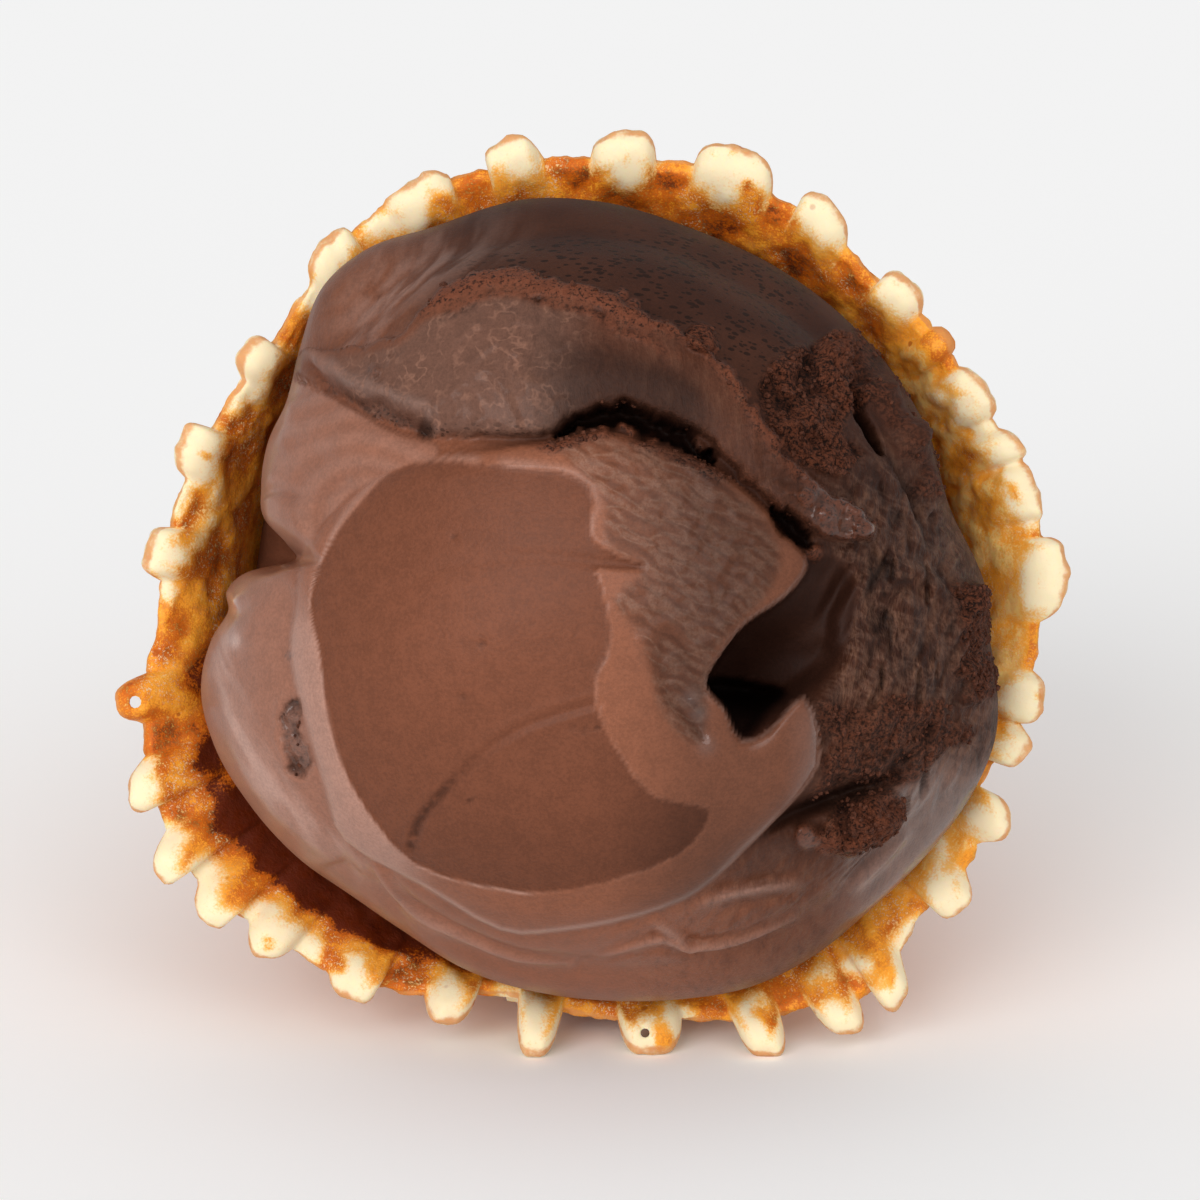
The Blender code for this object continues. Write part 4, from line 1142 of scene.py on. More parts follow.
    def pierce(self, skin: Skin, rings: list[np.ndarray], centre: np.ndarray, radius: float) -> None:
        """Cut a small round hole through the rim.

        Args:
            skin: the mesh being made.
            rings: the rim's rings, from the outer foot over the edge to the inner foot.
            centre: middle of the hole in cone coordinates.
            radius: radius of the hole.
        """
        away = np.array([np.hypot(*(skin.points[number][:, :2] - centre).T) for number in range(len(rings))])
        column = int(np.argmin(away.min(axis=0)))
        columns = (column + np.arange(-2, 3)) % self.rim_columns
        toward = math.atan2(centre[1], centre[0])
        loops = []
        for rows in (range(0, 21), range(21, len(rings))):
            spots = np.array([skin.points[row][column] for row in rows])
            far = np.hypot(*spots[:, :2].T) * self.view.nearness(spots[:, 2]) - np.hypot(*centre)
            change = int(np.argmax(far[:-1] * far[1:] <= 0.0))
            outer_row, inner_row = rows[change : change + 2]
            if far[change + 1] > far[change]:
                outer_row, inner_row = inner_row, outer_row
            for row in rows:
                self.spread(skin.points[row], centre, radius)
            steps = [(outer_row, at) for at in columns] + [(inner_row, at) for at in columns[::-1]]
            for number, (row, at) in enumerate(steps):
                turn = toward + math.radians(-72.0 + 36.0 * number)
                place = centre + radius * np.array((math.cos(turn), math.sin(turn)))
                skin.points[row][at, :2] = place / self.view.nearness(skin.points[row][at, 2])
            loops.append(np.array([rings[row][at] for row, at in steps]))
            block = set(loops[-1].tolist())
            skin.faces = [face for face in skin.faces if not block.issuperset(face)]
        skin.bridge(*loops)

    def spread(self, points: np.ndarray, centre: np.ndarray, radius: float) -> None:
        """Push the points near a line of sight away from it, to make room for a hole."""
        nearness = self.view.nearness(points[:, 2])[:, None]
        offset = points[:, :2] * nearness - centre
        away = np.maximum(np.hypot(offset[:, 0], offset[:, 1]), 1e-6)[:, None]
        push = np.where(away < 3.0 * radius, (radius + away * 2.0 / 3.0) / away, 1.0)
        points[:, :2] = (centre + offset * push) / nearness

    def inner_rows(self, skin: Skin, top: np.ndarray, angles: np.ndarray) -> None:
        """Add the inner face below the flare, down to its end near the tip."""
        turns, ring = np.radians(angles), top
        for height in (-12.0, -15.0, -19.0, -24.0, -30.0, -50.0, -90.0, -120.0, -132.0):
            count = 240 if height > -40.0 else 48
            next_angles = self.flap_angle + np.arange(count) * 360.0 / count
            radius = (height - self.apex) * math.tan(self.half_angle) - self.wall / math.cos(self.half_angle)
            toast = self.pit_share(next_angles, 13.0 - self.flare - height)
            next_turns = np.radians(next_angles)
            row = np.stack(
                (radius * np.cos(next_turns), radius * np.sin(next_turns), np.full(count, height)), 1
            )
            # toasted pits plus the painted shadow and painted light of the inner wall
            toast = 0.25 + 0.75 * toast + self.painted_wall_shading(next_angles, 13.0)
            made = skin.add(row, {Mark.TOAST: toast})
            skin.zip_rings(ring, turns, made, next_turns)
            ring, turns = made, next_turns
        end = skin.add(np.array([(0.0, 0.0, -133.5)]), {Mark.TOAST: np.array([0.5])})
        skin.fan(ring, int(end[0]))

    def outer_rows(self, skin: Skin, top: np.ndarray, angles: np.ndarray) -> None:
        """Add the outer face below the flare, ready for its lattice, and the blunt tip."""
        turns, ring = np.radians(angles), top
        part = np.arange(self.body_columns) / self.body_columns
        unrolled = part * math.pi / 2
        shares = np.linspace(0.0, 1.0, self.body_rows)[1:]
        for share in shares:
            slant = self.foot_slant + (self.tip_slant - self.foot_slant) * share
            grown = smooth(np.array(slant), self.tip_slant, 3.0 * self.tip_slant)
            ramp = np.minimum(part / 0.0015, 1.0)
            outward = grown * self.flap_step * (1.0 - part) * ramp
            radius = slant * math.sin(self.half_angle) + outward * math.cos(self.half_angle)
            height = self.apex + slant * math.cos(self.half_angle) - outward * math.sin(self.half_angle)
            twist = self.flap_twist * (1.0 - slant / self.foot_slant)
            turn = math.radians(self.flap_angle) + part * 2 * math.pi + twist
            row = np.stack((radius * np.cos(turn), radius * np.sin(turn), height), 1)
            marks = {
                Mark.SHEET_A: slant * np.cos(unrolled),
                Mark.SHEET_B: slant * np.sin(unrolled),
                Mark.LATTICE: np.full(len(part), grown * smooth(np.array(share), 0.0, 0.05)),
            }
            made = skin.add(row, marks)
            if len(ring) == len(made):
                skin.bridge(ring, made)
            else:
                skin.zip_rings(ring, turns, made, turn - twist)
            ring = made
        for shrink, drop in ((0.85, 0.45), (0.55, 0.8), (0.25, 0.97)):
            row = skin.points[-1].copy() if shrink == 0.85 else base.copy()
            base = row.copy() if shrink == 0.85 else base
            row[:, :2] *= shrink
            row[:, 2] -= drop * self.tip_rounding
            made = skin.add(row, {Mark.TOAST: np.full(len(row), 0.6)})
            skin.bridge(ring, made)
            ring = made
        end = skin.add(np.array([(0.0, 0.0, base[0, 2] - self.tip_rounding)]), {Mark.TOAST: np.array([0.6])})
        skin.fan(ring, int(end[0]))

    def lattice_tree(self, material: bpy.types.Material) -> bpy.types.NodeTree:
        """Geometry Nodes that raise the square lattice on the unrolled sheet's coordinates.

        Args:
            material: the waffle material.

        Returns:
            The finished tree, with named inputs for pitch, ridge width and relief.
        """
        tree = bpy.data.node_groups.new("waffle_lattice", "GeometryNodeTree")
        tree.interface.new_socket(name="Geometry", in_out="INPUT", socket_type="NodeSocketGeometry")
        sizes = {"Pitch": self.pitch, "Ridge width": 0.3, "Relief": self.relief * MM}
        for label, value in sizes.items():
            tree.interface.new_socket(name=label, in_out="INPUT", socket_type="NodeSocketFloat").default_value = value
        tree.interface.new_socket(name="Geometry", in_out="OUTPUT", socket_type="NodeSocketGeometry")
        bench = NodeBench(tree)
        start = bench.add("NodeGroupInput")
        near = []
        for mark in (Mark.SHEET_A, Mark.SHEET_B):
            along = bench.add("GeometryNodeInputNamedAttribute", {"Name": mark.value}, data_type="FLOAT")
            cells = bench.math("DIVIDE", along.outputs["Attribute"], start.outputs["Pitch"])
            centred = bench.math("SUBTRACT", bench.math("FRACT", cells), 0.5)
            near.append(bench.math("SUBTRACT", 0.5, bench.math("ABSOLUTE", centred)))
        nearest = bench.math("MINIMUM", *near)
        width = start.outputs["Ridge width"]
        share = bench.add("ShaderNodeMapRange", {"Value": nearest, "From Max": width}, interpolation_type="SMOOTHSTEP")
        kept = bench.add("GeometryNodeInputNamedAttribute", {"Name": Mark.LATTICE.value}, data_type="FLOAT")
        amount = kept.outputs["Attribute"]
        ridge = bench.math("SUBTRACT", 1.0, share.outputs[0])
        lift = bench.math("MULTIPLY", bench.math("MULTIPLY", ridge, amount), start.outputs["Relief"])
        normal = bench.add("GeometryNodeInputNormal")
        offset = bench.add("ShaderNodeVectorMath", {0: normal.outputs[0], 3: lift}, operation="SCALE")
        moved = bench.add(
            "GeometryNodeSetPosition", {"Geometry": start.outputs["Geometry"], "Offset": offset.outputs[0]}
        )
        known = bench.add("GeometryNodeInputNamedAttribute", {"Name": Mark.TOAST.value}, data_type="FLOAT")
        pit = bench.math("MULTIPLY", share.outputs[0], amount)
        toast = bench.math("ADD", known.outputs["Attribute"], pit)
        stored = bench.add(
            "GeometryNodeStoreNamedAttribute",
            {"Geometry": moved.outputs[0], "Name": Mark.TOAST.value, "Value": toast},
            data_type="FLOAT",
            domain="POINT",
        )
        real = bench.add("GeometryNodeRealizeInstances", {"Geometry": stored.outputs[0]})
        dressed = bench.add("GeometryNodeSetMaterial", {"Geometry": real.outputs[0], "Material": material})
        bench.add("NodeGroupOutput", {"Geometry": dressed.outputs[0]})
        return tree

    def build(self, material: bpy.types.Material) -> bpy.types.Object:
        """Make the whole cone.

        Args:
            material: the waffle material.

        Returns:
            The finished mesh object.
        """
        skin = Skin()
        outer, inner, angles = self.rim_rows(skin)
        self.inner_rows(skin, inner, angles)
        self.outer_rows(skin, outer, angles)
        plain = skin.build("waffle_sheet", self.rest)
        made = settle(plain, self.lattice_tree(material), {})
        press_into_box(made)
        return made


def settle(
    source: bpy.types.Object, tree: bpy.types.NodeTree, inputs: dict[str, object]
) -> bpy.types.Object:
    """Run a Geometry Nodes tree on an object and keep the result as a plain mesh.

    Args:
        source: the object that the tree works on.
        tree: the tree.
        inputs: values for its named inputs.

    Returns:
        The same object with its new mesh and no modifier.
    """
    modifier = source.modifiers.new(tree.name, "NODES")
    modifier.node_group = tree
    sockets = {item.name: item.identifier for item in tree.interface.items_tree if item.in_out == "INPUT"}
    for label, value in inputs.items():
        modifier[sockets[label]] = value
    graph = bpy.context.evaluated_depsgraph_get()
    mesh = bpy.data.meshes.new_from_object(source.evaluated_get(graph))
    source.modifiers.remove(modifier)
    mesh.name = source.name
    source.data = mesh
    return source


def press_into_box(made: bpy.types.Object, band: float = 1.5 * MM) -> None:
    """Press what reaches out of the solids' box back to its sides, over a narrow band.

    Args:
        made: the mesh object.
        band: depth of the band inside each side that takes up the change.
    """
    spots = np.empty(len(made.data.vertices) * 3)
    made.data.vertices.foreach_get("co", spots)
    spots = spots.reshape(-1, 3)
    for axis in range(3):
        for side, limit in ((-1.0, CAD_BOX[0][axis]), (1.0, CAD_BOX[1][axis])):
            out = side * (spots[:, axis] - limit)
            most = out.max()
            if most > 0.0 and limit != 0.0:
                share = (out + band) / (most + band)
                out = np.where(out > -band, band * share - band - 1e-6, out)
                spots[:, axis] = limit + side * out
    spots[:, 2] = np.maximum(spots[:, 2], 0.0)
    made.data.vertices.foreach_set("co", spots.ravel())
    made.data.update()


# Ice cream.

SCOOP_OUTLINE: Points = [
    (0.0, 34.6), (15.0, 32.2), (27.0, 32.8), (40.0, 33.0), (62.0, 33.4), (76.0, 33.9),
    (90.0, 35.3), (100.0, 36.1), (115.0, 36.3), (124.0, 37.4), (132.0, 37.1), (140.0, 34.9),
    (148.0, 33.0), (155.0, 32.7), (162.0, 31.8), (167.0, 30.7), (170.5, 28.3), (173.0, 27.4),
    (176.0, 31.6), (179.0, 33.3), (182.0, 33.2), (186.0, 34.8), (192.0, 36.4), (201.0, 36.9),
    (210.0, 36.4), (221.0, 35.6), (230.0, 34.7), (239.0, 34.6), (251.0, 35.4), (260.0, 35.7),
    (270.0, 36.0), (281.0, 36.6), (291.0, 37.3), (300.0, 37.3), (311.0, 36.9), (323.0, 37.2),
    (333.0, 37.6), (341.0, 37.4), (348.0, 36.2), (354.0, 35.0),
]
CAP_OUTLINE: Points = [
    (296, 600), (301, 562), (325, 520), (372, 480), (430, 458), (500, 448), (556, 440),
    (598, 431), (650, 444), (709, 464), (765, 508), (790, 538), (808, 566), (785, 598),
    (747, 624), (722, 655), (708, 684), (726, 708), (742, 738), (768, 730), (804, 696),
    (821, 752), (800, 795), (745, 850), (700, 892), (640, 917), (560, 932), (500, 930),
    (420, 885), (345, 840), (325, 790), (300, 705), (290, 650),
]
PATCH_OUTLINE: Points = [
    (316, 580), (337, 535), (366, 498), (393, 472), (438, 461), (500, 467), (559, 472),
    (586, 484), (594, 502), (590, 515), (590, 535), (600, 547), (619, 557), (644, 568),
    (598, 569), (600, 586), (608, 617), (607, 653), (596, 674), (594, 696), (602, 724),
    (625, 765), (648, 792), (672, 802), (705, 807), (704, 826), (686, 848), (640, 870),
    (560, 890), (500, 887), (415, 862), (355, 790), (330, 719), (320, 650), (312, 612),
]
CURL_CREST: Points = [
    (292, 352), (318, 352), (345, 349), (380, 341), (401, 334), (420, 312), (441, 288),
    (476, 272), (518, 269), (560, 281), (600, 288), (640, 312), (690, 335), (722, 362),
    (744, 393), (762, 420), (790, 460), (824, 486), (856, 508), (878, 526),
]
CURL_FOOT: Points = [
    (872, 541), (846, 544), (820, 536), (790, 520), (765, 500), (732, 468), (706, 440),
    (672, 420), (640, 411), (606, 408), (572, 420), (552, 434), (500, 437), (440, 436),
    (405, 430), (370, 415), (330, 392), (285, 378),
]
LEFT_LOBE: Points = [
    (285, 378), (330, 392), (370, 415), (405, 432), (440, 445), (430, 480), (372, 500),
    (330, 530), (306, 560), (290, 556), (262, 535), (235, 500), (250, 440),
]
LOWER_LOBE: Points = [
    (222, 588), (236, 571), (262, 569), (284, 576), (300, 600), (310, 700), (345, 850),
    (300, 870), (220, 820), (180, 700), (190, 620),
]
CREVICE: Points = [
    (556, 433), (578, 422), (606, 415), (634, 416), (652, 430), (672, 432), (690, 446), (712, 462),
]
SECOND_CREVICE: Points = [(774, 510), (790, 527), (811, 542)]
DARK_SHEET: Points = [
    (680, 690), (695, 640), (725, 596), (764, 570), (800, 556), (824, 550), (846, 562),
    (860, 592), (850, 640), (838, 672), (806, 700), (770, 716), (705, 716),
]
BLACK_HOLE: Points = [(706, 686), (730, 682), (760, 688), (788, 694), (776, 710), (742, 740), (726, 716)]
GROOVE_HIGH: Points = [(353, 626), (400, 590), (443, 568), (482, 560), (523, 557), (564, 559), (640, 568)]
GROOVE_LOW: Points = [(412, 845), (420, 820), (440, 795), (470, 765), (500, 740), (540, 720), (598, 703)]
RIPPLES: Points = [
    (560, 450), (600, 438), (650, 446), (700, 465), (755, 505), (782, 556), (765, 600), (735, 630),
    (712, 668), (705, 742), (680, 738), (655, 700), (640, 640), (612, 600), (640, 570), (604, 545),
    (600, 500),
]
HOOK: Points = [
    (652, 640), (668, 626), (690, 648), (708, 690), (713, 722), (708, 745), (690, 735),
    (668, 710), (652, 676),
]
HOOK_ARC: Points = [(640, 640), (646, 670), (660, 700), (680, 728), (706, 746)]
RIGHT_ARCS: tuple[Points, ...] = (
    [(856, 610), (873, 583), (900, 573), (926, 575), (950, 600), (964, 640), (968, 690)],
    [(836, 640), (846, 606), (866, 578), (905, 556)],
    [(905, 590), (915, 620), (908, 660)],
)
BAND_RIDGES: tuple[Points, ...] = (
    [(372, 860), (386, 888), (402, 914), (430, 934), (480, 955), (530, 970), (570, 975)],
    [(600, 962), (640, 948), (664, 944), (690, 956), (740, 951), (800, 928)],
    [(655, 925), (672, 936), (692, 956)],
    [(700, 905), (750, 892), (800, 885)],
    [(860, 900), (890, 870), (915, 840)],
)
CRUMBLED_PLACES: tuple[tuple[float, Points], ...] = (
    (1.0, [(765, 420), (763, 385), (790, 350), (835, 330), (872, 345), (880, 385), (850, 420), (858, 450),
            (836, 480), (800, 465)]),
    (0.9, [(856, 330), (880, 345), (900, 380), (930, 430), (950, 500), (935, 505), (905, 440), (880, 400)]),
    (0.75, [(812, 700), (858, 706), (907, 696), (955, 712), (976, 738), (930, 780), (900, 790), (850, 782),
             (812, 800), (826, 745)]),
    (1.0, [(960, 588), (984, 584), (992, 640), (999, 690), (975, 700), (962, 655)]),
    (1.0, [(830, 806), (860, 800), (900, 792), (905, 815), (890, 845), (850, 858), (832, 850)]),
)
LUMPS: tuple[tuple[float, float, float, float], ...] = (
    (848, 834, 2.6, 1.6), (868, 826, 2.6, 1.7), (888, 812, 2.2, 1.6), (807, 837, 1.45, 1.9),
    (828, 845, 1.3, 0.9), (842, 345, 2.0, 1.0), (700, 338, 1.6, 1.7), (710, 348, 1.0, 1.1),
    (632, 305, 0.9, 1.0), (622, 295, 0.7, 0.9), (658, 323, 0.6, 0.8), (730, 374, 0.8, 0.6),
    (744, 393, 0.7, 0.5), (754, 410, 0.7, 0.5), (779, 444, 0.6, 0.5), (805, 499, 1.0, 0.9),
    (824, 514, 1.0, 0.8), (862, 530, 1.1, 0.8), (815, 553, 0.9, 1.0), (604, 428, 0.7, 1.0),
    (622, 424, 0.6, 1.3), (632, 430, 0.7, 1.1), (652, 438, 0.8, 0.7), (375, 372, 0.8, 0.8),
    (972, 596, 1.3, 0.9), (980, 672, 1.4, 0.9), (286, 560, 0.9, 0.5), (290, 655, 0.5, 0.4),
)

SMOOTH_LUMP_RADIUS = 1.45

# View points of single features of the scoop.
FOLD_LINE: Points = [(318, 366), (345, 398), (385, 412), (415, 430), (432, 440)]
LIP_LINE: Points = [(312, 352), (352, 382), (396, 394), (424, 408), (436, 430)]
FOLD_END = (426, 430)
BACK_STREAK: Points = [(338, 345), (368, 300), (415, 262), (490, 228)]
LOBE_PIT: Points = [(293, 706), (291, 728), (296, 748), (301, 768)]
LOBE_SHEEN: Points = [(236, 610), (228, 660), (242, 720), (272, 780), (316, 834), (380, 890)]
LOBE_GLINTS: Points = [(236, 603), (242, 640)]
LOBE_GROOVE: Points = [(262, 497), (285, 492), (305, 497), (328, 492), (345, 482)]
CUT_PITS: Points = [(455, 538), (483, 643), (464, 696), (572, 728), (584, 729), (598, 727), (470, 800)]
CAP_GLINTS: Points = [(691, 698), (698, 714), (706, 746), (760, 735)]
UNDERCUT: Points = [(752, 832), (800, 811), (834, 799), (872, 786), (906, 774)]
SLOT: Points = [(861, 386), (866, 415), (882, 446)]
FLAKE: Points = [(872, 352), (893, 392), (914, 436), (938, 480), (946, 530)]
GULLY: Points = [(882, 440), (904, 470), (924, 508), (934, 545)]


@dataclass
class Layers:
    """Height over the plain dome and surface marks at plan positions, laid over one another."""

    x: np.ndarray
    y: np.ndarray
    view: View
    height: np.ndarray = field(default_factory=lambda: np.zeros(1))
    marks: dict[Mark, np.ndarray] = field(default_factory=dict)

    def cover(self, share: np.ndarray, height: np.ndarray, marks: dict[Mark, np.ndarray | float]) -> None:
        """Lay a new layer over the old ones.

        Args:
            share: how far the new layer covers each place, from 0 to 1.
            height: the new layer's height.
            marks: its marks. Marks that it doesn't name show through.
        """
        self.height = self.height * (1 - share) + height * share
        for mark, value in marks.items():
            self.marks[mark] = self.marks[mark] * (1 - share) + value * share

    def lift(self, value: np.ndarray, *marks: Mark) -> None:
        """Raise marks to at least a value."""
        for mark in marks:
            self.marks[mark] = np.maximum(self.marks[mark], value)

    def keep(self, share: np.ndarray, *marks: Mark) -> None:
        """Keep a share of each of some marks."""
        for mark in marks:
            self.marks[mark] = self.marks[mark] * share

    def inside(self, outline: Points) -> np.ndarray:
        """Distance to a closed outline of view points, positive inside it."""
        return inside_distance(self.x, self.y, self.view.curve(outline, closed=True))

    def beside(self, line: Points) -> tuple[np.ndarray, np.ndarray]:
        """Distance to a line of view points, and the share of the way along it."""
        return line_distance(self.x, self.y, self.view.curve(line))

    def ridge(self, line: Points, width: float, shift: float = 0.0) -> np.ndarray:
        """Rounded ridge along a line of view points."""
        return self.view.ridge(self.x, self.y, line, width, shift)

    def spot(self, place: tuple[float, float], radius: float, power: int = 2, flat: float = 1.0) -> np.ndarray:
        """Round spot at a view point, squarer with a higher power and longer upward with a smaller flat."""
        across, up = self.view.plan([place])[0]
        return bell(np.hypot(self.x - across, (self.y - up) * flat), radius, power)


@dataclass
class Scoop:
    """The scoop of ice cream: dome, folds, hollows, lumps and the plug inside the cone."""

    rest: Rest
    cone: WaffleCone
    view: View = field(default_factory=View)
    gap: float = 0.35
    equator: float = 3.0
    dome: float = 33.5
    underside: float = 30.0
    contact: tuple[float, float] = (-4.0, -14.0)
    plug_end: float = -131.0
    cells: int = 284
    side_columns: int = 400
    plug_columns: int = 48

    def edge(self, angles: np.ndarray) -> np.ndarray:
        """Radius of the scoop's outline at each angle in degrees."""
        return ring_curve(SCOOP_OUTLINE, angles)

    def share(self, x: np.ndarray, y: np.ndarray) -> np.ndarray:
        """Share of the way from the middle to the outline, whose notches fade inward.

        Args:
            x: plan coordinates to the right.
            y: plan coordinates upward.

        Returns:
            The share at each place, from 0 to 1.
        """
        radius, angles = np.hypot(x, y), np.degrees(np.arctan2(y, x))
        even = sum(self.edge(angles + turn) for turn in range(-20, 21, 4)) / 11.0
        inward = 1.0 - smooth(radius / self.edge(angles), 0.86, 1.0)
        return np.clip(radius / (self.edge(angles) * (1.0 - inward) + even * inward), 0.0, 1.0)

    def relief(self, x: np.ndarray, y: np.ndarray) -> Layers:
        """Lay all layers of the scoop over the plain dome.

        Args:
            x: plan coordinates to the right.
            y: plan coordinates upward.

        Returns:
            The layers, with their height over the dome and their marks.
        """
        layers = Layers(x, y, self.view)
        crumbs = crumble(x, y, 2.0)
        cap = layers.inside(CAP_OUTLINE)
        self._shell(layers, cap, crumbs)
        self._left_lobes(layers)
        self._curl(layers, crumbs)
        self._cap(layers, cap, crumbs)
        self._hollows(layers, cap)
        self._torn_edge(layers, 1 - smooth(cap, -0.2, 0.1))
        self._lumps(layers)
        return layers

    def _shell(self, layers: Layers, cap: np.ndarray, crumbs: np.ndarray) -> None:
        """Start with the lowest layer: the back, the right body, the lower band and their rough places.

        Args:
            layers: the layers, still empty.
            cap: distance to the cap's outline, positive inside it.
            crumbs: crumbly relief.
        """
        x, y = layers.x, layers.y
        from_middle = np.hypot(x, y)
        height = -1.7 * smooth(-cap, 0.0, 4.0) + 0.35 * noise(x, y, 7.0, 3.0)
        right = smooth(x, 17.0, 23.0) * smooth(y, -24.0, -14.0) * smooth(-y, -18.0, -8.0)
        height = height + 0.8 * right
        for arc in RIGHT_ARCS:
            height = height + 0.7 * layers.ridge(arc, 0.7) - 0.5 * layers.ridge(arc, 0.6, 1.3)
        strokes = layered_noise(x * 0.35 + y * 0.15, (y * 0.5 - x) * 1.2, 0.8, 41.0, 2)
        cracks = smooth(noise(x * 1.3, y * 0.45, 1.1, 47.0), 0.35, 0.8) * smooth(x, 22.0, 26.0)
        cracks = cracks * (1 - smooth(x, 29.0, 32.0)) * right
        height = height + 0.34 * right * strokes - 1.0 * cracks
        rough = np.zeros(np.shape(x))
        for strength, outline in CRUMBLED_PLACES:
            ragged = layers.inside(outline) + 0.7 * noise(x, y, 1.6, 55.0)
            rough = np.maximum(rough, strength * smooth(ragged, -0.5, 0.7))
        chunks = layered_noise(x, y, 2.4, 57.0, 3)
        height = height + rough * (1.6 * crumbs + 1.1 * chunks)
        low_band = smooth(-y, 16.0, 26.0)
        # lit: painted highlights on the lower band's ridges and along the back streak
        lit = np.zeros(np.shape(x))
        for line in BAND_RIDGES:
            crest = layers.ridge(line, 0.42)
            height = height + 0.8 * crest - 0.5 * layers.ridge(line, 0.5, 1.0)
            lit = np.maximum(lit, 0.35 * crest)
        drawn = layered_noise(x * 0.3 + y * 0.1, y * 0.8 - 0.75 * x, 0.8, 43.0, 3)
        height = height + 0.24 * low_band * drawn * smooth(x, -6.0, 3.0) * (1 - smooth(from_middle, 33.0, 34.5))
        left = smooth(-x, 4.0, 16.0)
        low = smooth(-y, 20.0, 30.0) * (1 - 0.55 * smooth(x, 4.0, 20.0))
        back_left = smooth(-x, 10.0, 22.0) * smooth(y, 14.0, 22.0)
        film = np.clip(0.9 * np.maximum(left * (1 - smooth(y, 14.0, 24.0)), low) + 0.62 * back_left, 0, 1)
        combed = layered_noise((x + y) * 0.22, (y - x) * 0.9, 0.9, 45.0, 3)
        lit = np.maximum(lit, 0.34 * layers.ridge(BACK_STREAK, 2.8) * smooth(combed, -0.7, 0.8))
        combing = 0.16 * combed * smooth(-x, 6.0, 12.0) * smooth(y, 14.0, 20.0)
        layers.height = height + combing * (1 - smooth(from_middle, 34.0, 36.0))
        back = smooth(y, 18.0, 22.0) * smooth(x, -16.0, -6.0) * (1 - smooth(x, 17.0, 22.0))
        hole = bell(np.hypot((x - 17.5) / 4.2, (y + 12.0) / 2.4), 1.0, 4)
        fibre = np.clip(right + 0.5 * low_band * smooth(x, 0.0, 6.0) + 0.3 * back_left, 0, 1)
        # painted sheen on the glossy strip low on the right
        gleam = 0.25 * smooth(x, 24.0, 28.0) * smooth(-y, 12.0, 17.0) * (1 - rough)
        shade = 0.3 * right * smooth(-strokes, 0.1, 0.7) + 0.8 * cracks + 0.2 * hole
        shade = shade + 0.75 * rough * smooth(-chunks - 0.6 * crumbs, 0.1, 0.7)
        layers.marks = {mark: np.zeros(np.shape(x)) for mark in (Mark.PATCH, Mark.NET, Mark.TORN)}
        layers.marks |= {
            Mark.FILM: film,
            Mark.FROST: 0.3 * right * (1 - rough),
            Mark.FIBRE: fibre * (1 - rough),
            Mark.CRUMB: rough,
            Mark.WET: 0.5 * smooth(x, 20.0, 25.0) * smooth(-y, 14.0, 19.0) * (1 - rough),
            Mark.PORES: back * (1 - smooth(from_middle, 33.2, 34.8)),
            Mark.SHADE: np.clip(shade, 0, 1),
            Mark.GLEAM: np.maximum(lit, gleam),
        }

    def _left_lobes(self, layers: Layers) -> None:
        """Lay on the two smooth lobes that hang out at the left, above and below the notch.

        Args:
            layers: the layers so far.
        """
        x, y = layers.x, layers.y
        upper, lower = layers.inside(LEFT_LOBE), layers.inside(LOWER_LOBE)
        on_upper, on_lower = smooth(upper, -0.2, 0.6), smooth(lower, -0.2, 0.8)
        swirl = np.sin(2.6 * np.hypot(x + 21.0, (y - 8.0) * 1.2) + 2.2 * noise(x, y, 4.5, 23.0))
        bulge = 0.3 + 0.8 * smooth(upper, 0.0, 4.0) + 0.05 * swirl + 0.16 * layered_noise(x, y, 1.8, 24.0, 3)
        layers.cover(on_upper, bulge, {})
        layers.cover(on_lower, -0.4 + 1.2 * smooth(lower, 0.0, 5.0), {})
        layers.lift(0.85 * np.maximum(on_upper, on_lower), Mark.FILM)
        ragged_x = x + 0.2 * layered_noise(x, y, 0.9, 25.0, 2)
        pit, _ = line_distance(ragged_x, y, self.view.curve(LOBE_PIT))
        hollow = smooth(0.95 - pit + 0.35 * layered_noise(x, y, 1.1, 26.0, 2), -0.1, 0.2)
        pitted = crumble(x * 1.9, y * 1.9, 8.0)
        layers.height = layers.height + 0.25 * bell(pit - 1.25, 0.3) * (1 - hollow)
        layers.height = layers.height - hollow * (1.1 - 0.9 * pitted)
        layers.lift(0.8 * hollow, Mark.TORN)
        layers.lift(0.55 * hollow, Mark.CRUMB)
        layers.lift(0.4 * hollow, Mark.WET)
        layers.lift(hollow * (0.12 + 0.6 * smooth(0.35 - pitted, -0.1, 0.3)), Mark.SHADE)
        # painted sheen: a milky streak down the lower lobe, faint sheen over both lobes, and painted glints
        combed = 0.6 + 0.4 * smooth(noise(x * 1.6 + y * 0.9, y * 0.25, 0.7, 29.0), -0.4, 0.5)
        sheen = 0.85 * layers.ridge(LOBE_SHEEN, 1.5) * combed
        sheen = np.maximum(sheen, on_upper * (0.14 + 0.1 * smooth(swirl, -0.9, 0.9)))
        layers.lift(np.maximum(sheen, 0.2 * on_lower), Mark.GLEAM)
        for place in LOBE_GLINTS:
            glint = layers.spot(place, 0.7, flat=0.6)
            layers.lift(0.8 * glint, Mark.WET)
            layers.lift(0.9 * glint**2, Mark.GLEAM)
        layers.height = layers.height + 0.8 * bell(np.hypot(x + 32.7, y + 0.4), 0.7)
        layers.height = layers.height - 0.6 * bell(layers.beside(LOBE_GROOVE)[0], 0.5)

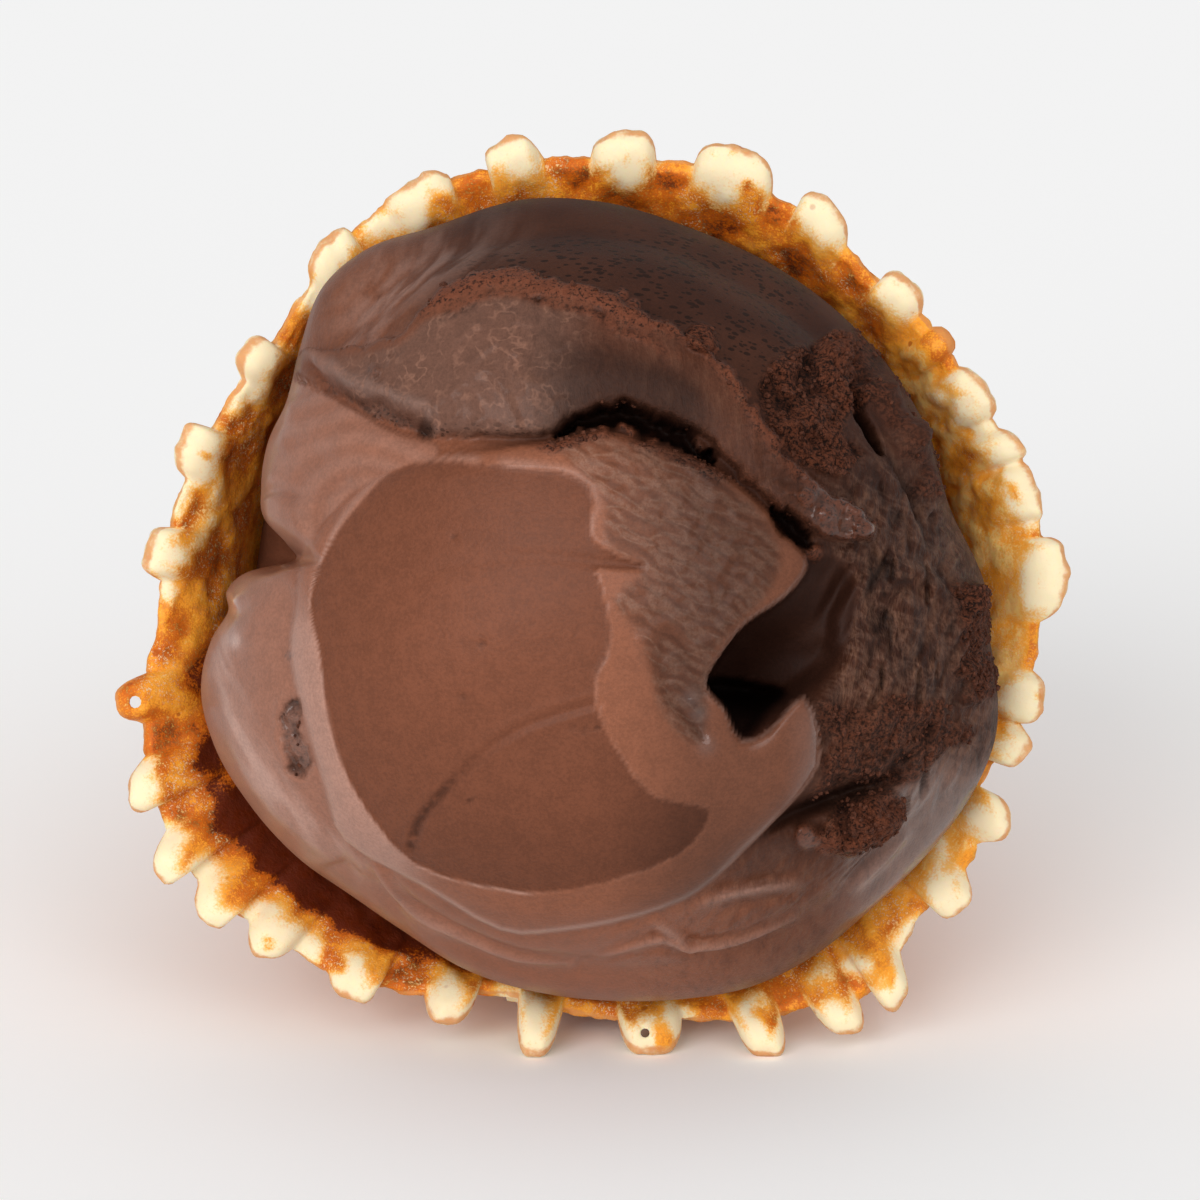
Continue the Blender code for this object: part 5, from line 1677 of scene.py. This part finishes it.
    def _curl(self, layers: Layers, crumbs: np.ndarray) -> None:
        """Lay on the rolled fold above the cap, with its torn band, frosted face and ragged tail.

        Args:
            layers: the layers so far.
            crumbs: crumbly relief.
        """
        x, y = layers.x, layers.y
        torn_x = x + 0.3 * layered_noise(x, y, 1.3, 21.0, 2)
        torn_y = y + 0.3 * layered_noise(x, y, 1.3, 27.0, 2)
        crest_line, foot_line = self.view.curve(CURL_CREST), self.view.curve(CURL_FOOT)
        on_curl = smooth(inside_distance(torn_x, torn_y, np.concatenate((crest_line, foot_line))), -0.12, 0.25)
        crest, along = line_distance(x, y, crest_line)
        foot, _ = line_distance(x, y, foot_line)
        down = crest / (crest + foot + 1e-6)
        roll = 3.0 * np.sqrt(np.clip(1.0 - down**2.2, 0.0, 1.0)) + 0.2
        roll = roll * (0.3 + 0.7 * smooth(along, 0.0, 0.22))
        roll = roll - 0.9 * smooth(along, 0.0, 0.16) * (1 - smooth(along, 0.16, 0.3))
        band = bell(crest - 1.1, 0.8) * smooth(along, 0.26, 0.32) * (1 - smooth(along, 0.56, 0.62))
        fringe = bell(crest - 2.4 - 0.4 * noise(x, y, 2.0, 13.0), 0.5) * smooth(along, 0.24, 0.3)
        fringe = fringe * (1 - smooth(along, 0.58, 0.66))
        beads = grains(torn_x, torn_y, 0.95, 12.0)
        torn = bell(crest, 0.9) * smooth(along, 0.22, 0.3)
        lower_torn = bell(foot, 1.3) * (1 - smooth(np.abs(x + 14.0), 4.0, 12.0))
        roll = roll + 0.55 * band + fringe * (1.1 * beads - 0.8) + 0.6 * torn * crumbs
        roll = roll + 0.6 * bell(foot, 1.2) * crumbs
        tail = smooth(x, 12.0, 17.0)
        roll = roll + tail * (0.9 * crumbs + 0.5 * layered_noise(x, y, 1.8, 59.0, 2))
        fold = self.view.ridge(torn_x, torn_y, FOLD_LINE, 0.62)
        lip = self.view.ridge(torn_x, torn_y, LIP_LINE, 0.5)
        end_hole = layers.spot(FOLD_END, 0.75, 4, 0.8)
        roll = roll - 1.7 * fold + 0.9 * lip - 1.6 * end_hole
        bare = 1.9 * smooth(along, 0.24, 0.32) * (1 - smooth(along, 0.56, 0.62))
        frosted = on_curl * (1 - smooth(x, -5.0, 1.0)) * smooth(crest - bare, 0.5, 1.3) * smooth(x, -26.0, -21.5)
        net = 1.0 - smooth(np.abs(noise(x + 0.6 * y, y * 0.8 - 0.5 * x, 1.7, 71.0)), 0.0, 0.4)
        rough = np.maximum(torn * 0.5, 0.4 * bell(foot, 0.9) * smooth(x, -14.0, -8.0))
        inner = smooth(down, 0.3, 0.6) * smooth(x, -8.0, -2.0) * (1 - smooth(x, 8.0, 12.0))
        reddish = band + torn + fold + 0.6 * lip + 0.7 * fringe * beads + 0.5 * tail * smooth(crumbs, 0.0, 0.4)
        # painted shade in the gaps of the bead fringe, on the curl's hollow inner face, on the tail, in the end hole
        # and along the fold
        painted_hollow_shade = 0.95 * fringe * smooth(0.82 - beads, 0.0, 0.3) + 0.72 * inner + 0.35 * tail
        painted_hollow_shade = painted_hollow_shade + 0.8 * end_hole + 0.55 * fold * smooth(-crumbs, -0.3, 0.3)
        layers.cover(
            on_curl,
            roll,
            {
                Mark.FILM: 0.5 - 0.35 * smooth(x, -10.0, 4.0),
                Mark.FROST: 0.0,
                Mark.WET: 0.5 * smooth(x, 17.0, 20.0),
                Mark.FIBRE: 0.35 * smooth(x, -14.0, -6.0),
                # painted highlight along the lip
                Mark.GLEAM: 0.5 * lip,
                Mark.CRUMB: np.clip(rough, 0, 1),
                Mark.PORES: 0.8 * lower_torn,
                Mark.SHADE: np.clip(painted_hollow_shade, 0, 1),
            },
        )
        layers.marks[Mark.TORN] = np.clip(reddish, 0, 1) * on_curl
        layers.marks[Mark.NET] = frosted
        layers.height = layers.height + 0.34 * net * frosted * smooth(noise(x, y, 4.0, 5.0), -0.6, 0.3)

    def _cap(self, layers: Layers, cap: np.ndarray, crumbs: np.ndarray) -> None:
        """Lay on the smooth cap: its film, the bare cut face and the hook at the hollow.

        Args:
            layers: the layers so far.
            cap: distance to the cap's outline, positive inside it.
            crumbs: crumbly relief.
        """
        x, y = layers.x, layers.y
        patch = layers.inside(PATCH_OUTLINE)
        on_cap = smooth(cap, -0.1, 0.2)
        bend = 2.4 - 1.9 * smooth(x, 5.0, 11.0) * smooth(y, -16.0, -10.0)
        shoulder = np.sqrt(np.clip(1.0 - (1.0 - np.clip(cap / bend, 0.0, 1.0)) ** 2, 0.0, 1.0))
        top = 0.2 + 1.7 * shoulder + 0.2 * noise(x, y, 12.0, 9.0)
        ragged = patch + 0.12 * layered_noise(x, y, 0.9, 35.0, 2) * smooth(x, -22.0, -16.0)
        on_patch = smooth(ragged, -0.1, 0.1)
        top = top - 0.22 * smooth(patch, -0.15, 0.15) + 0.06 * bell(patch + 0.3, 0.28)
        groove, along = layers.beside(GROOVE_HIGH)
        top = top - (0.06 + 0.22 * along**3) * bell(groove, 0.8 - 0.3 * along)
        groove, along = layers.beside(GROOVE_LOW)
        top = top - 0.3 * (0.5 + 0.5 * along) * bell(groove, 0.42) + 0.1 * bell(groove - 0.7, 0.35)
        dents = smooth(grains(x, y, 0.7, 33.0), 0.6, 0.9) * bell(groove, 0.4) * (1 - smooth(along, 0.3, 0.6))
        for place in CUT_PITS:
            dents = np.maximum(dents, layers.spot(place, 0.28, flat=1.6))
        ripples = smooth(layers.inside(RIPPLES), -0.3, 0.8)
        wave = noise(x * 0.45 + y * 0.28, y - 0.45 * x + 0.5 * noise(x, y, 2.0, 3.0), 0.8, 77.0)
        top = top - 0.3 * dents + 0.16 * ripples * (1.0 - smooth(np.abs(wave), 0.0, 0.4))
        hook = layers.inside(HOOK)
        top = top - 0.7 * smooth(hook, -0.2, 1.2) + 0.2 * bell(layers.beside(HOOK_ARC)[0], 0.5)
        crumbly_lip = bell(layers.beside(CREVICE)[0] - 1.2, 0.9) * (1 - smooth(cap, 0.6, 1.8))
        top = top + 0.8 * crumbly_lip * crumbs
        # dim: the cap film darker to the right, over the ripples and the hook and towards the bottom, partly its own
        # darker tone and partly painted shade; the cut face darker away from its middle, painted shade
        dim = 0.6 * smooth(x, -2.0, 11.0) + 0.1 * smooth(hook, 0.0, 1.0) + 0.22 * ripples
        dim = dim + 0.2 * smooth(-y, 16.0, 26.0)
        dim = dim + 0.2 * on_patch * (1 - bell(np.hypot(x + 13.0, y + 3.5), 10.0))
        wet = np.zeros(np.shape(x))
        for place in CAP_GLINTS:
            wet = np.maximum(wet, layers.spot(place, 0.8))
        wet = np.maximum(wet, smooth(cap, 0.0, 0.5) * smooth(x, 16.0, 19.0) * smooth(-y, 8.0, 12.0) * 0.6)
        layers.cover(
            on_cap,
            top,
            {
                # painted sheen along the cap's brim and round its cut face
                Mark.GLEAM: self._cap_painted_sheen(x, y, cap, patch, on_patch),
                Mark.NET: 0.0,
                Mark.FIBRE: 0.0,
                Mark.FILM: 1.0 - 0.2 * ripples,
                Mark.FROST: 0.8 * ripples * (1 - on_patch),
                Mark.CRUMB: np.clip(crumbly_lip, 0, 1),
                Mark.TORN: np.clip(crumbly_lip, 0, 1),
                Mark.PORES: 0.0,
                Mark.SHADE: 0.6 * dents + dim,
            },
        )
        layers.marks[Mark.PATCH] = on_patch * on_cap
        layers.marks[Mark.WET] = np.maximum(layers.marks[Mark.WET] * (1 - on_cap), wet * on_cap)

    def _cap_painted_sheen(
        self, x: np.ndarray, y: np.ndarray, cap: np.ndarray, patch: np.ndarray, on_patch: np.ndarray
    ) -> np.ndarray:
        """Painted sheen: a pale highlight painted along the cap's brim and round its cut face.

        Args:
            x: plan coordinates to the right.
            y: plan coordinates upward.
            cap: distance to the cap's outline, positive inside it.
            patch: distance to the cut face's outline, positive inside it.
            on_patch: share of the cut face.

        Returns:
            The painted sheen at each place, from 0 to 1.
        """
        upper = smooth(y, 3.0, 9.0)
        # painted highlight along the cut face's edge
        edge = bell(patch + 0.15 + 0.25 * upper, 0.12 + 0.28 * upper)
        edge = edge * (0.55 - 0.25 * upper) * smooth(noise(x, y, 2.5, 91.0), -0.9, 0.1)
        edge = edge * (1.0 - 0.8 * smooth(x, -8.0, 0.0) * (1 - upper)) * (1.0 - 0.5 * smooth(x, -4.0, 0.0) * upper)
        edge = np.maximum(edge, 0.55 * (1 - on_patch) * smooth(-x, 14.0, 19.0) * smooth(-y, -2.0, 4.0))
        brim = 0.6 * bell(cap - 0.3, 0.2) * smooth(-y, 16.0, 22.0)
        rim_light = 0.6 * bell(cap - 0.15, 0.14) * smooth(x, 7.0, 10.0) * smooth(-y, -4.0, 0.0)
        return np.maximum(edge * (1 - 0.7 * smooth(x, 2.0, 6.0)), np.maximum(brim, rim_light))

    def _hollows(self, layers: Layers, cap: np.ndarray) -> None:
        """Cut the crevices and the deep hollow beside the cap.

        Args:
            layers: the layers so far.
            cap: distance to the cap's outline, positive inside it.
        """
        x, y = layers.x, layers.y
        torn_x = x + 0.42 * layered_noise(x, y, 1.0, 51.0, 2)
        torn_y = y + 0.42 * layered_noise(x, y, 1.0, 52.0, 2)
        for line, depth in ((CREVICE, 6.5), (SECOND_CREVICE, 5.0)):
            away, along = line_distance(torn_x, torn_y, self.view.curve(line))
            cut = bell(away, 0.16 + 0.84 * np.sin(math.pi * np.clip(along * 0.9 + 0.05, 0, 1)), 6)
            layers.height = layers.height - depth * cut
            layers.lift(0.9 * cut, Mark.SHADE)
        off_cap = 1 - smooth(cap, -0.2, 0.1)
        rise = smooth(((x - 12.4) * 0.8 + (y + 10.5) * 0.6) / 13.0, -0.1, 1.15)
        sunk = smooth(layers.inside(DARK_SHEET), -1.0, 2.2) * off_cap
        open_hole = smooth(layers.inside(BLACK_HOLE), -0.3, 0.5) * off_cap
        layers.height = layers.height - (10.5 - 8.6 * rise) * sunk - 9.0 * open_hole
        layers.lift(np.maximum((0.62 - 0.12 * rise) * smooth(sunk, 0.1, 0.6), 0.98 * open_hole), Mark.SHADE)
        calm = 1 - np.maximum(smooth(sunk, 0.1, 0.4), open_hole)
        calmed = (Mark.CRUMB, Mark.FROST, Mark.FIBRE, Mark.NET, Mark.GLEAM)
        layers.keep(np.maximum(calm, 1 - off_cap), *calmed)

    def _torn_edge(self, layers: Layers, off_cap: np.ndarray) -> None:
        """Cut the undercut below the hollow, and the slot, flake and gully at the right edge.

        Args:
            layers: the layers so far.
            off_cap: share outside the cap.
        """
        x, y = layers.x, layers.y
        # undercut: cut down into the relief and darkened with painted shade
        deep = layers.ridge(UNDERCUT, 0.85) * off_cap
        layers.keep(1 - deep, Mark.WET, Mark.GLEAM, Mark.FIBRE)
        layers.lift(0.9 * deep, Mark.SHADE)
        slot, _ = line_distance(x + 0.3 * noise(x, y, 1.2, 83.0), y, self.view.curve(SLOT))
        slot = bell(slot, 0.72, 6)
        flake = np.maximum(layers.ridge(FLAKE, 0.9), bell(np.hypot(x - 29.2, (y - 14.6) * 1.4), 1.3, 4))
        gully = layers.ridge(GULLY, 0.55)
        layers.height = layers.height - 4.2 * deep + 1.6 * flake - 1.3 * gully - 6.0 * slot
        layers.keep(1 - 0.8 * flake, Mark.CRUMB, Mark.FIBRE)
        layers.keep(1 - 0.6 * flake, Mark.SHADE)
        layers.lift(np.maximum(0.95 * slot, 0.8 * gully), Mark.SHADE)

    def _lumps(self, layers: Layers) -> None:
        """Add the single lumps: crumbly when large, one smooth and wet, the small ones reddish.

        Args:
            layers: the layers so far.
        """
        x, y = layers.x, layers.y
        unevenness = 0.12 * noise(x, y, 0.9, 81.0)
        for place_x, place_y, radius, rise in LUMPS:
            across, up = self.view.plan([(place_x, place_y)])[0]
            away = np.hypot(x - across, y - up) / radius + unevenness
            knob = np.sqrt(np.clip(1.0 - away**2, 0.0, 1.0)) * smooth(1 - away, 0, 0.4)
            layers.height = layers.height + rise * knob
            if radius == SMOOTH_LUMP_RADIUS:
                layers.keep(1 - knob, Mark.CRUMB, Mark.GLEAM, Mark.FIBRE, Mark.SHADE, Mark.WET)
                layers.lift(0.3 * knob, Mark.WET)
                layers.lift(0.7 * knob, Mark.TORN)
            elif radius > SMOOTH_LUMP_RADIUS:
                layers.lift(smooth(knob, 0.0, 0.3), Mark.CRUMB)
                layers.lift(0.45 * smooth(knob, 0.0, 0.3), Mark.TORN)
            else:
                reddish = 0.8 if across < 24.0 else 0.1
                layers.lift(reddish * smooth(knob, 0.0, 0.4), Mark.TORN)

    def front_points(self, x: np.ndarray, y: np.ndarray) -> tuple[np.ndarray, dict[Mark, np.ndarray]]:
        """Points and marks of the scoop's upper side.

        Args:
            x: plan coordinates to the right.
            y: plan coordinates upward.

        Returns:
            The points in cone coordinates, and their marks.
        """
        share = self.share(x, y)
        height = self.equator + self.dome * np.sqrt(1.0 - share**2)
        nearness = self.view.nearness(height)
        layers = self.relief(x * nearness, y * nearness)
        relief = layers.height * (1.0 - smooth(share, 0.92, 0.998))
        sideways = smooth(share, 0.8, 0.98)
        far = np.hypot(x, y) + 1e-9
        out = relief * sideways
        spots = np.stack(
            (x + out * x / far, y + out * y / far, height + relief * (1.0 - 0.7 * sideways)), axis=-1
        )
        return spots, layers.marks

    def wall_radius(self, angles: np.ndarray, height: float) -> np.ndarray:
        """Radius of the cone's inner face at one height.

        Args:
            angles: angles round the cone, in degrees.
            height: the height in cone coordinates.

        Returns:
            One radius for each angle.
        """
        cone = self.cone
        if height <= -cone.flare:
            middle = (height - cone.apex) * math.tan(cone.half_angle)
            return np.full(len(angles), middle - cone.wall / math.cos(cone.half_angle))
        rows = [cone.rim_point(angles, way, RimFace.INNER) for way in np.linspace(0.0, 1.0, 15)]
        radii = np.stack([np.hypot(row[:, 0], row[:, 1]) for row in rows])
        heights = np.stack([row[:, 2] for row in rows])
        result = np.empty(len(angles))
        for column in range(len(angles)):
            result[column] = np.interp(height, heights[:, column], radii[:, column])
            result[column] += max(0.0, height - heights[-1, column]) * 2.0
        return result

    def build(self, material: bpy.types.Material) -> bpy.types.Object:
        """Make the whole scoop and its plug.

        Args:
            material: the ice cream material.

        Returns:
            The finished mesh object.
        """
        skin = Skin()
        steps = np.linspace(-1.0, 1.0, self.cells + 1)
        across, up = np.meshgrid(steps, steps)
        disc_x = across * np.sqrt(1.0 - 0.5 * up**2)
        disc_y = up * np.sqrt(1.0 - 0.5 * across**2)
        disc = np.clip(np.hypot(disc_x, disc_y), 0.0, 1.0)
        turn = np.arctan2(disc_y, disc_x)
        crowded = np.sin(disc * math.pi / 2 * 0.97) / math.sin(math.pi / 2 * 0.97)
        radius = self.edge(np.degrees(turn)) * (0.45 * disc + 0.55 * crowded)
        x, y = (radius * np.cos(turn)).ravel(), (radius * np.sin(turn)).ravel()
        spots, marks = self.front_points(x, y)
        numbers = skin.add(spots, marks).reshape(self.cells + 1, self.cells + 1)
        quads = np.stack((numbers[:-1, :-1], numbers[:-1, 1:], numbers[1:, 1:], numbers[1:, :-1]), axis=-1)
        skin.faces.extend(map(tuple, quads.reshape(-1, 4).tolist()))
        loop = np.concatenate((numbers[0, :-1], numbers[:-1, -1], numbers[-1, :0:-1], numbers[:0:-1, 0]))
        turns = np.arctan2(spots[loop, 1], spots[loop, 0])
        start = int(np.argmin(turns))
        self._underside(skin, np.roll(loop, -start), np.roll(turns, -start))
        made = skin.build("ice_cream_scoop", self.rest)
        made.data.materials.append(material)
        return made

    def _underside(self, skin: Skin, ring: np.ndarray, turns: np.ndarray) -> None:
        """Add the underside of the scoop and the plug that fills the cone.

        Args:
            skin: the mesh being made.
            ring: point numbers round the upper side's edge.
            turns: their rising angles.
        """
        fine = (2.2, 1.0, -0.5, -2.0, -3.5, -5.0, -7.0, -9.0, -11.0, -13.0, -15.0)
        coarse = (-30.0, -70.0, -110.0, -130.0)
        for height in fine + coarse:
            count = self.side_columns if height in fine else self.plug_columns
            angles = -180.0 + np.arange(count) * 360.0 / count
            wall = self.wall_radius(angles, height) - self.gap
            drop = max(self.equator - height, 0.0) / self.underside
            ball = self.edge(angles) * math.sqrt(max(1.0 - drop**2, 0.0))
            pressed = smooth(self.contact[0] - height, 0.0, self.contact[0] - self.contact[1])
            radius = np.minimum(ball * (1.0 - pressed) + wall * pressed, wall)
            next_turns = np.radians(angles)
            made = skin.add(ring_points(radius, next_turns, height), {Mark.FILM: np.full(count, 0.5)})
            if len(made) == len(ring):
                skin.bridge(ring, made)
            else:
                skin.zip_rings(ring, turns, made, next_turns)
            ring, turns = made, next_turns
        skin.fan(ring, int(skin.add(np.array([(0.0, 0.0, self.plug_end)]))[0]))


@dataclass
class LooseCrumbs:
    """Small crumbs of ice cream strewn over the rough places by Geometry Nodes."""

    rest: Rest
    density: float = 1300000.0
    small: float = 0.2
    large: float = 0.85
    seed: int = 7

    def crumb(self) -> bpy.types.Object:
        """One angular crumb, about half a millimetre across."""
        body = bmesh.new()
        bmesh.ops.create_icosphere(body, subdivisions=1, radius=0.32 * MM)
        for number, vert in enumerate(body.verts):
            vert.co *= 1.0 + 0.5 * math.sin(number * 12.9)
        mesh = bpy.data.meshes.new("crumb")
        body.to_mesh(mesh)
        body.free()
        return bpy.data.objects.new("crumb", mesh)

    def tree(self, crumb: bpy.types.Object, material: bpy.types.Material) -> bpy.types.NodeTree:
        """Geometry Nodes that strew the crumb where the surface is marked as crumbly."""
        tree = bpy.data.node_groups.new("loose_crumbs", "GeometryNodeTree")
        tree.interface.new_socket(name="Geometry", in_out="INPUT", socket_type="NodeSocketGeometry")
        sizes = {"Density": self.density, "Smallest": self.small, "Largest": self.large}
        for label, value in sizes.items():
            tree.interface.new_socket(name=label, in_out="INPUT", socket_type="NodeSocketFloat").default_value = value
        tree.interface.new_socket(name="Seed", in_out="INPUT", socket_type="NodeSocketInt").default_value = self.seed
        tree.interface.new_socket(name="Geometry", in_out="OUTPUT", socket_type="NodeSocketGeometry")
        bench = NodeBench(tree)
        start = bench.add("NodeGroupInput")
        rough = bench.add("GeometryNodeInputNamedAttribute", {"Name": Mark.CRUMB.value}, data_type="FLOAT")
        share = bench.math("POWER", rough.outputs["Attribute"], 2.0)
        density = bench.math("MULTIPLY", share, start.outputs["Density"])
        strewn = bench.add(
            "GeometryNodeDistributePointsOnFaces",
            {"Mesh": start.outputs["Geometry"], "Density": density, "Seed": start.outputs["Seed"]},
        )
        turn = bench.add(
            "FunctionNodeRandomValue",
            {"Max": (6.3, 6.3, 6.3), "Seed": start.outputs["Seed"]},
            data_type="FLOAT_VECTOR",
        )
        size = bench.add(
            "FunctionNodeRandomValue",
            {2: start.outputs["Smallest"], 3: start.outputs["Largest"], "Seed": start.outputs["Seed"]},
            data_type="FLOAT",
        )
        source = bench.add("GeometryNodeObjectInfo", {"Object": crumb})
        placed = bench.add(
            "GeometryNodeInstanceOnPoints",
            {
                "Points": strewn.outputs["Points"],
                "Instance": source.outputs["Geometry"],
                "Rotation": turn.outputs[0],
                "Scale": size.outputs[1],
            },
        )
        real = bench.add("GeometryNodeRealizeInstances", {"Geometry": placed.outputs[0]})
        dressed = bench.add("GeometryNodeSetMaterial", {"Geometry": real.outputs[0], "Material": material})
        bench.add("NodeGroupOutput", {"Geometry": dressed.outputs[0]})
        return tree

    def build(self, scoop: bpy.types.Object, material: bpy.types.Material) -> bpy.types.Object:
        """Strew the crumbs over the scoop and keep them as one plain mesh."""
        crumb = self.crumb()
        made = bpy.data.objects.new("ice_cream_crumbs", scoop.data.copy())
        bpy.context.scene.collection.objects.link(made)
        settle(made, self.tree(crumb, material), {"Seed": self.seed})
        bpy.data.objects.remove(crumb)
        return made


@dataclass(frozen=True)
class CrumbFinish:
    """Rough broken ice cream, as on the crumbly edges."""

    light: str = "5f3524"
    dark: str = "29130a"

    def build(self, effects: SharedEffects) -> bpy.types.Material:
        """Make the material from the shared grain."""
        material, bench, shader = new_material("chocolate_crumb")
        place = bench.add("ShaderNodeTexCoord").outputs["Object"]
        millimetres = bench.add("ShaderNodeVectorMath", {0: place, 3: 1000.0}, operation="SCALE").outputs[0]
        grain = bench.group(effects.grain, vector=millimetres, size=0.3, roughness=0.7, seed=19.0)
        tone = bench.mix(bench.ramp(grain.outputs["Tone"], 0.3, 0.7), colour(self.dark), colour(self.light))
        bench.feed(shader.inputs["Base Color"], tone)
        shader.inputs["Roughness"].default_value = 0.7
        shader.inputs["Specular IOR Level"].default_value = 0.15
        bump = bench.add("ShaderNodeBump", {"Height": grain.outputs["Height"], "Strength": 0.6, "Distance": 0.0002})
        bench.feed(shader.inputs["Normal"], bump.outputs[0])
        return material


# Studio.


@dataclass(frozen=True)
class Studio:
    """Pale floor, soft light and the camera that looks straight into the cone's mouth."""

    rest: Rest
    distance: float = 500.0
    frame_size: float = 108.0
    aim_down: float = 0.27
    floor_reach: float = 3.0
    key_power: float = 1.7
    fill_power: float = 1.1
    surround: float = 0.55

    def to_world(self, x: float, y: float, h: float) -> tuple[float, float, float]:
        """One place in cone coordinates, in metres in the resting frame."""
        return tuple(self.rest.place(np.array([(x, y, h)]))[0])

    def floor(self) -> None:
        """Plain pale floor."""
        mesh = bpy.data.meshes.new("floor")
        reach = self.floor_reach
        mesh.from_pydata(
            [(-reach, -reach, 0.0), (reach, -reach, 0.0), (reach, reach, 0.0), (-reach, reach, 0.0)],
            [],
            [(0, 1, 2, 3)],
        )
        floor = bpy.data.objects.new("floor", mesh)
        bpy.context.scene.collection.objects.link(floor)
        material, _, shader = new_material("pale_floor")
        shader.inputs["Base Color"].default_value = (0.98, 0.98, 0.98, 1.0)
        shader.inputs["Roughness"].default_value = 0.9
        shader.inputs["Specular IOR Level"].default_value = 0.0
        mesh.materials.append(material)

    def soft_light(self, name: str, toward: tuple[float, float, float], power: float, spread: float) -> None:
        """Add one broad, far light.

        Args:
            name: the light's name.
            toward: direction to the light in cone coordinates.
            power: its strength.
            spread: its width in degrees.
        """
        data = bpy.data.lights.new(name, "SUN")
        data.energy, data.angle = power, math.radians(spread)
        light = bpy.data.objects.new(name, data)
        start, end = np.array(self.to_world(*toward)), np.array(self.to_world(0.0, 0.0, 0.0))
        light.rotation_euler = aim_angles(end - start)
        bpy.context.scene.collection.objects.link(light)

    def light(self) -> None:
        """Soft key from the left, weaker fill from the upper right and a pale surround."""
        self.soft_light("key", (-0.42, 0.12, 0.9), self.key_power, 35.0)
        self.soft_light("fill", (0.24, 0.26, 0.93), self.fill_power, 50.0)
        world = bpy.data.worlds.new("surround")
        world.use_nodes = True
        bench = NodeBench(world.node_tree)
        back = world.node_tree.nodes["Background"]
        back.inputs["Color"].default_value = (1.0, 1.0, 1.0, 1.0)
        seen = bench.add("ShaderNodeLightPath").outputs["Is Camera Ray"]
        bench.feed(back.inputs["Strength"], bench.math("MULTIPLY_ADD", seen, 1.0 - self.surround, self.surround))
        bpy.context.scene.world = world

    def camera(self) -> None:
        """Camera on the cone's axis, as in the straight-down view."""
        data = bpy.data.cameras.new("camera")
        data.sensor_width = 36.0
        data.lens = 36.0 * self.distance / self.frame_size
        data.clip_start, data.clip_end = 0.01, 20.0
        camera = bpy.data.objects.new("camera", data)
        camera.location = self.to_world(0.0, -self.aim_down, self.distance)
        camera.rotation_euler = (math.pi / 2 - self.rest.angle, 0.0, 0.0)
        bpy.context.scene.collection.objects.link(camera)
        bpy.context.scene.camera = camera
        bpy.context.scene.view_settings.view_transform = "Standard"


def aim_angles(aim: np.ndarray) -> tuple[float, float, float]:
    """Euler angles that point a light's -Z along a direction."""
    flat = math.hypot(aim[0], aim[1])
    return (math.atan2(flat, -aim[2]), 0.0, math.atan2(-aim[0], aim[1]))


def main() -> None:
    """Build the classes in order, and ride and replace."""
    logging.basicConfig(level=logging.INFO, format="%(message)s")
    rest = Rest()
    effects = SharedEffects()
    effects.build()
    waffle = WaffleFinish().build(effects)
    chocolate = IceCreamFinish().build(effects)
    broken = CrumbFinish().build(effects)
    cone = WaffleCone(rest)
    cone_piece = cone.build(waffle)
    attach(cone_piece, "root")
    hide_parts("waffle_cone")
    LOG.info("waffle cone: %d faces", len(cone_piece.data.polygons))
    scoop = Scoop(rest, cone)
    scoop_piece = scoop.build(chocolate)
    LOG.info("scoop: %d faces", len(scoop_piece.data.polygons))
    crumbs = LooseCrumbs(rest).build(scoop_piece, broken)
    LOG.info("crumbs: %d faces", len(crumbs.data.polygons))
    for piece in (scoop_piece, crumbs):
        press_into_box(piece)
        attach(piece, "root")
        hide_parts("ice_cream")
    studio = Studio(rest)
    studio.floor()
    studio.light()
    studio.camera()


if __name__ == "__main__":
    main()
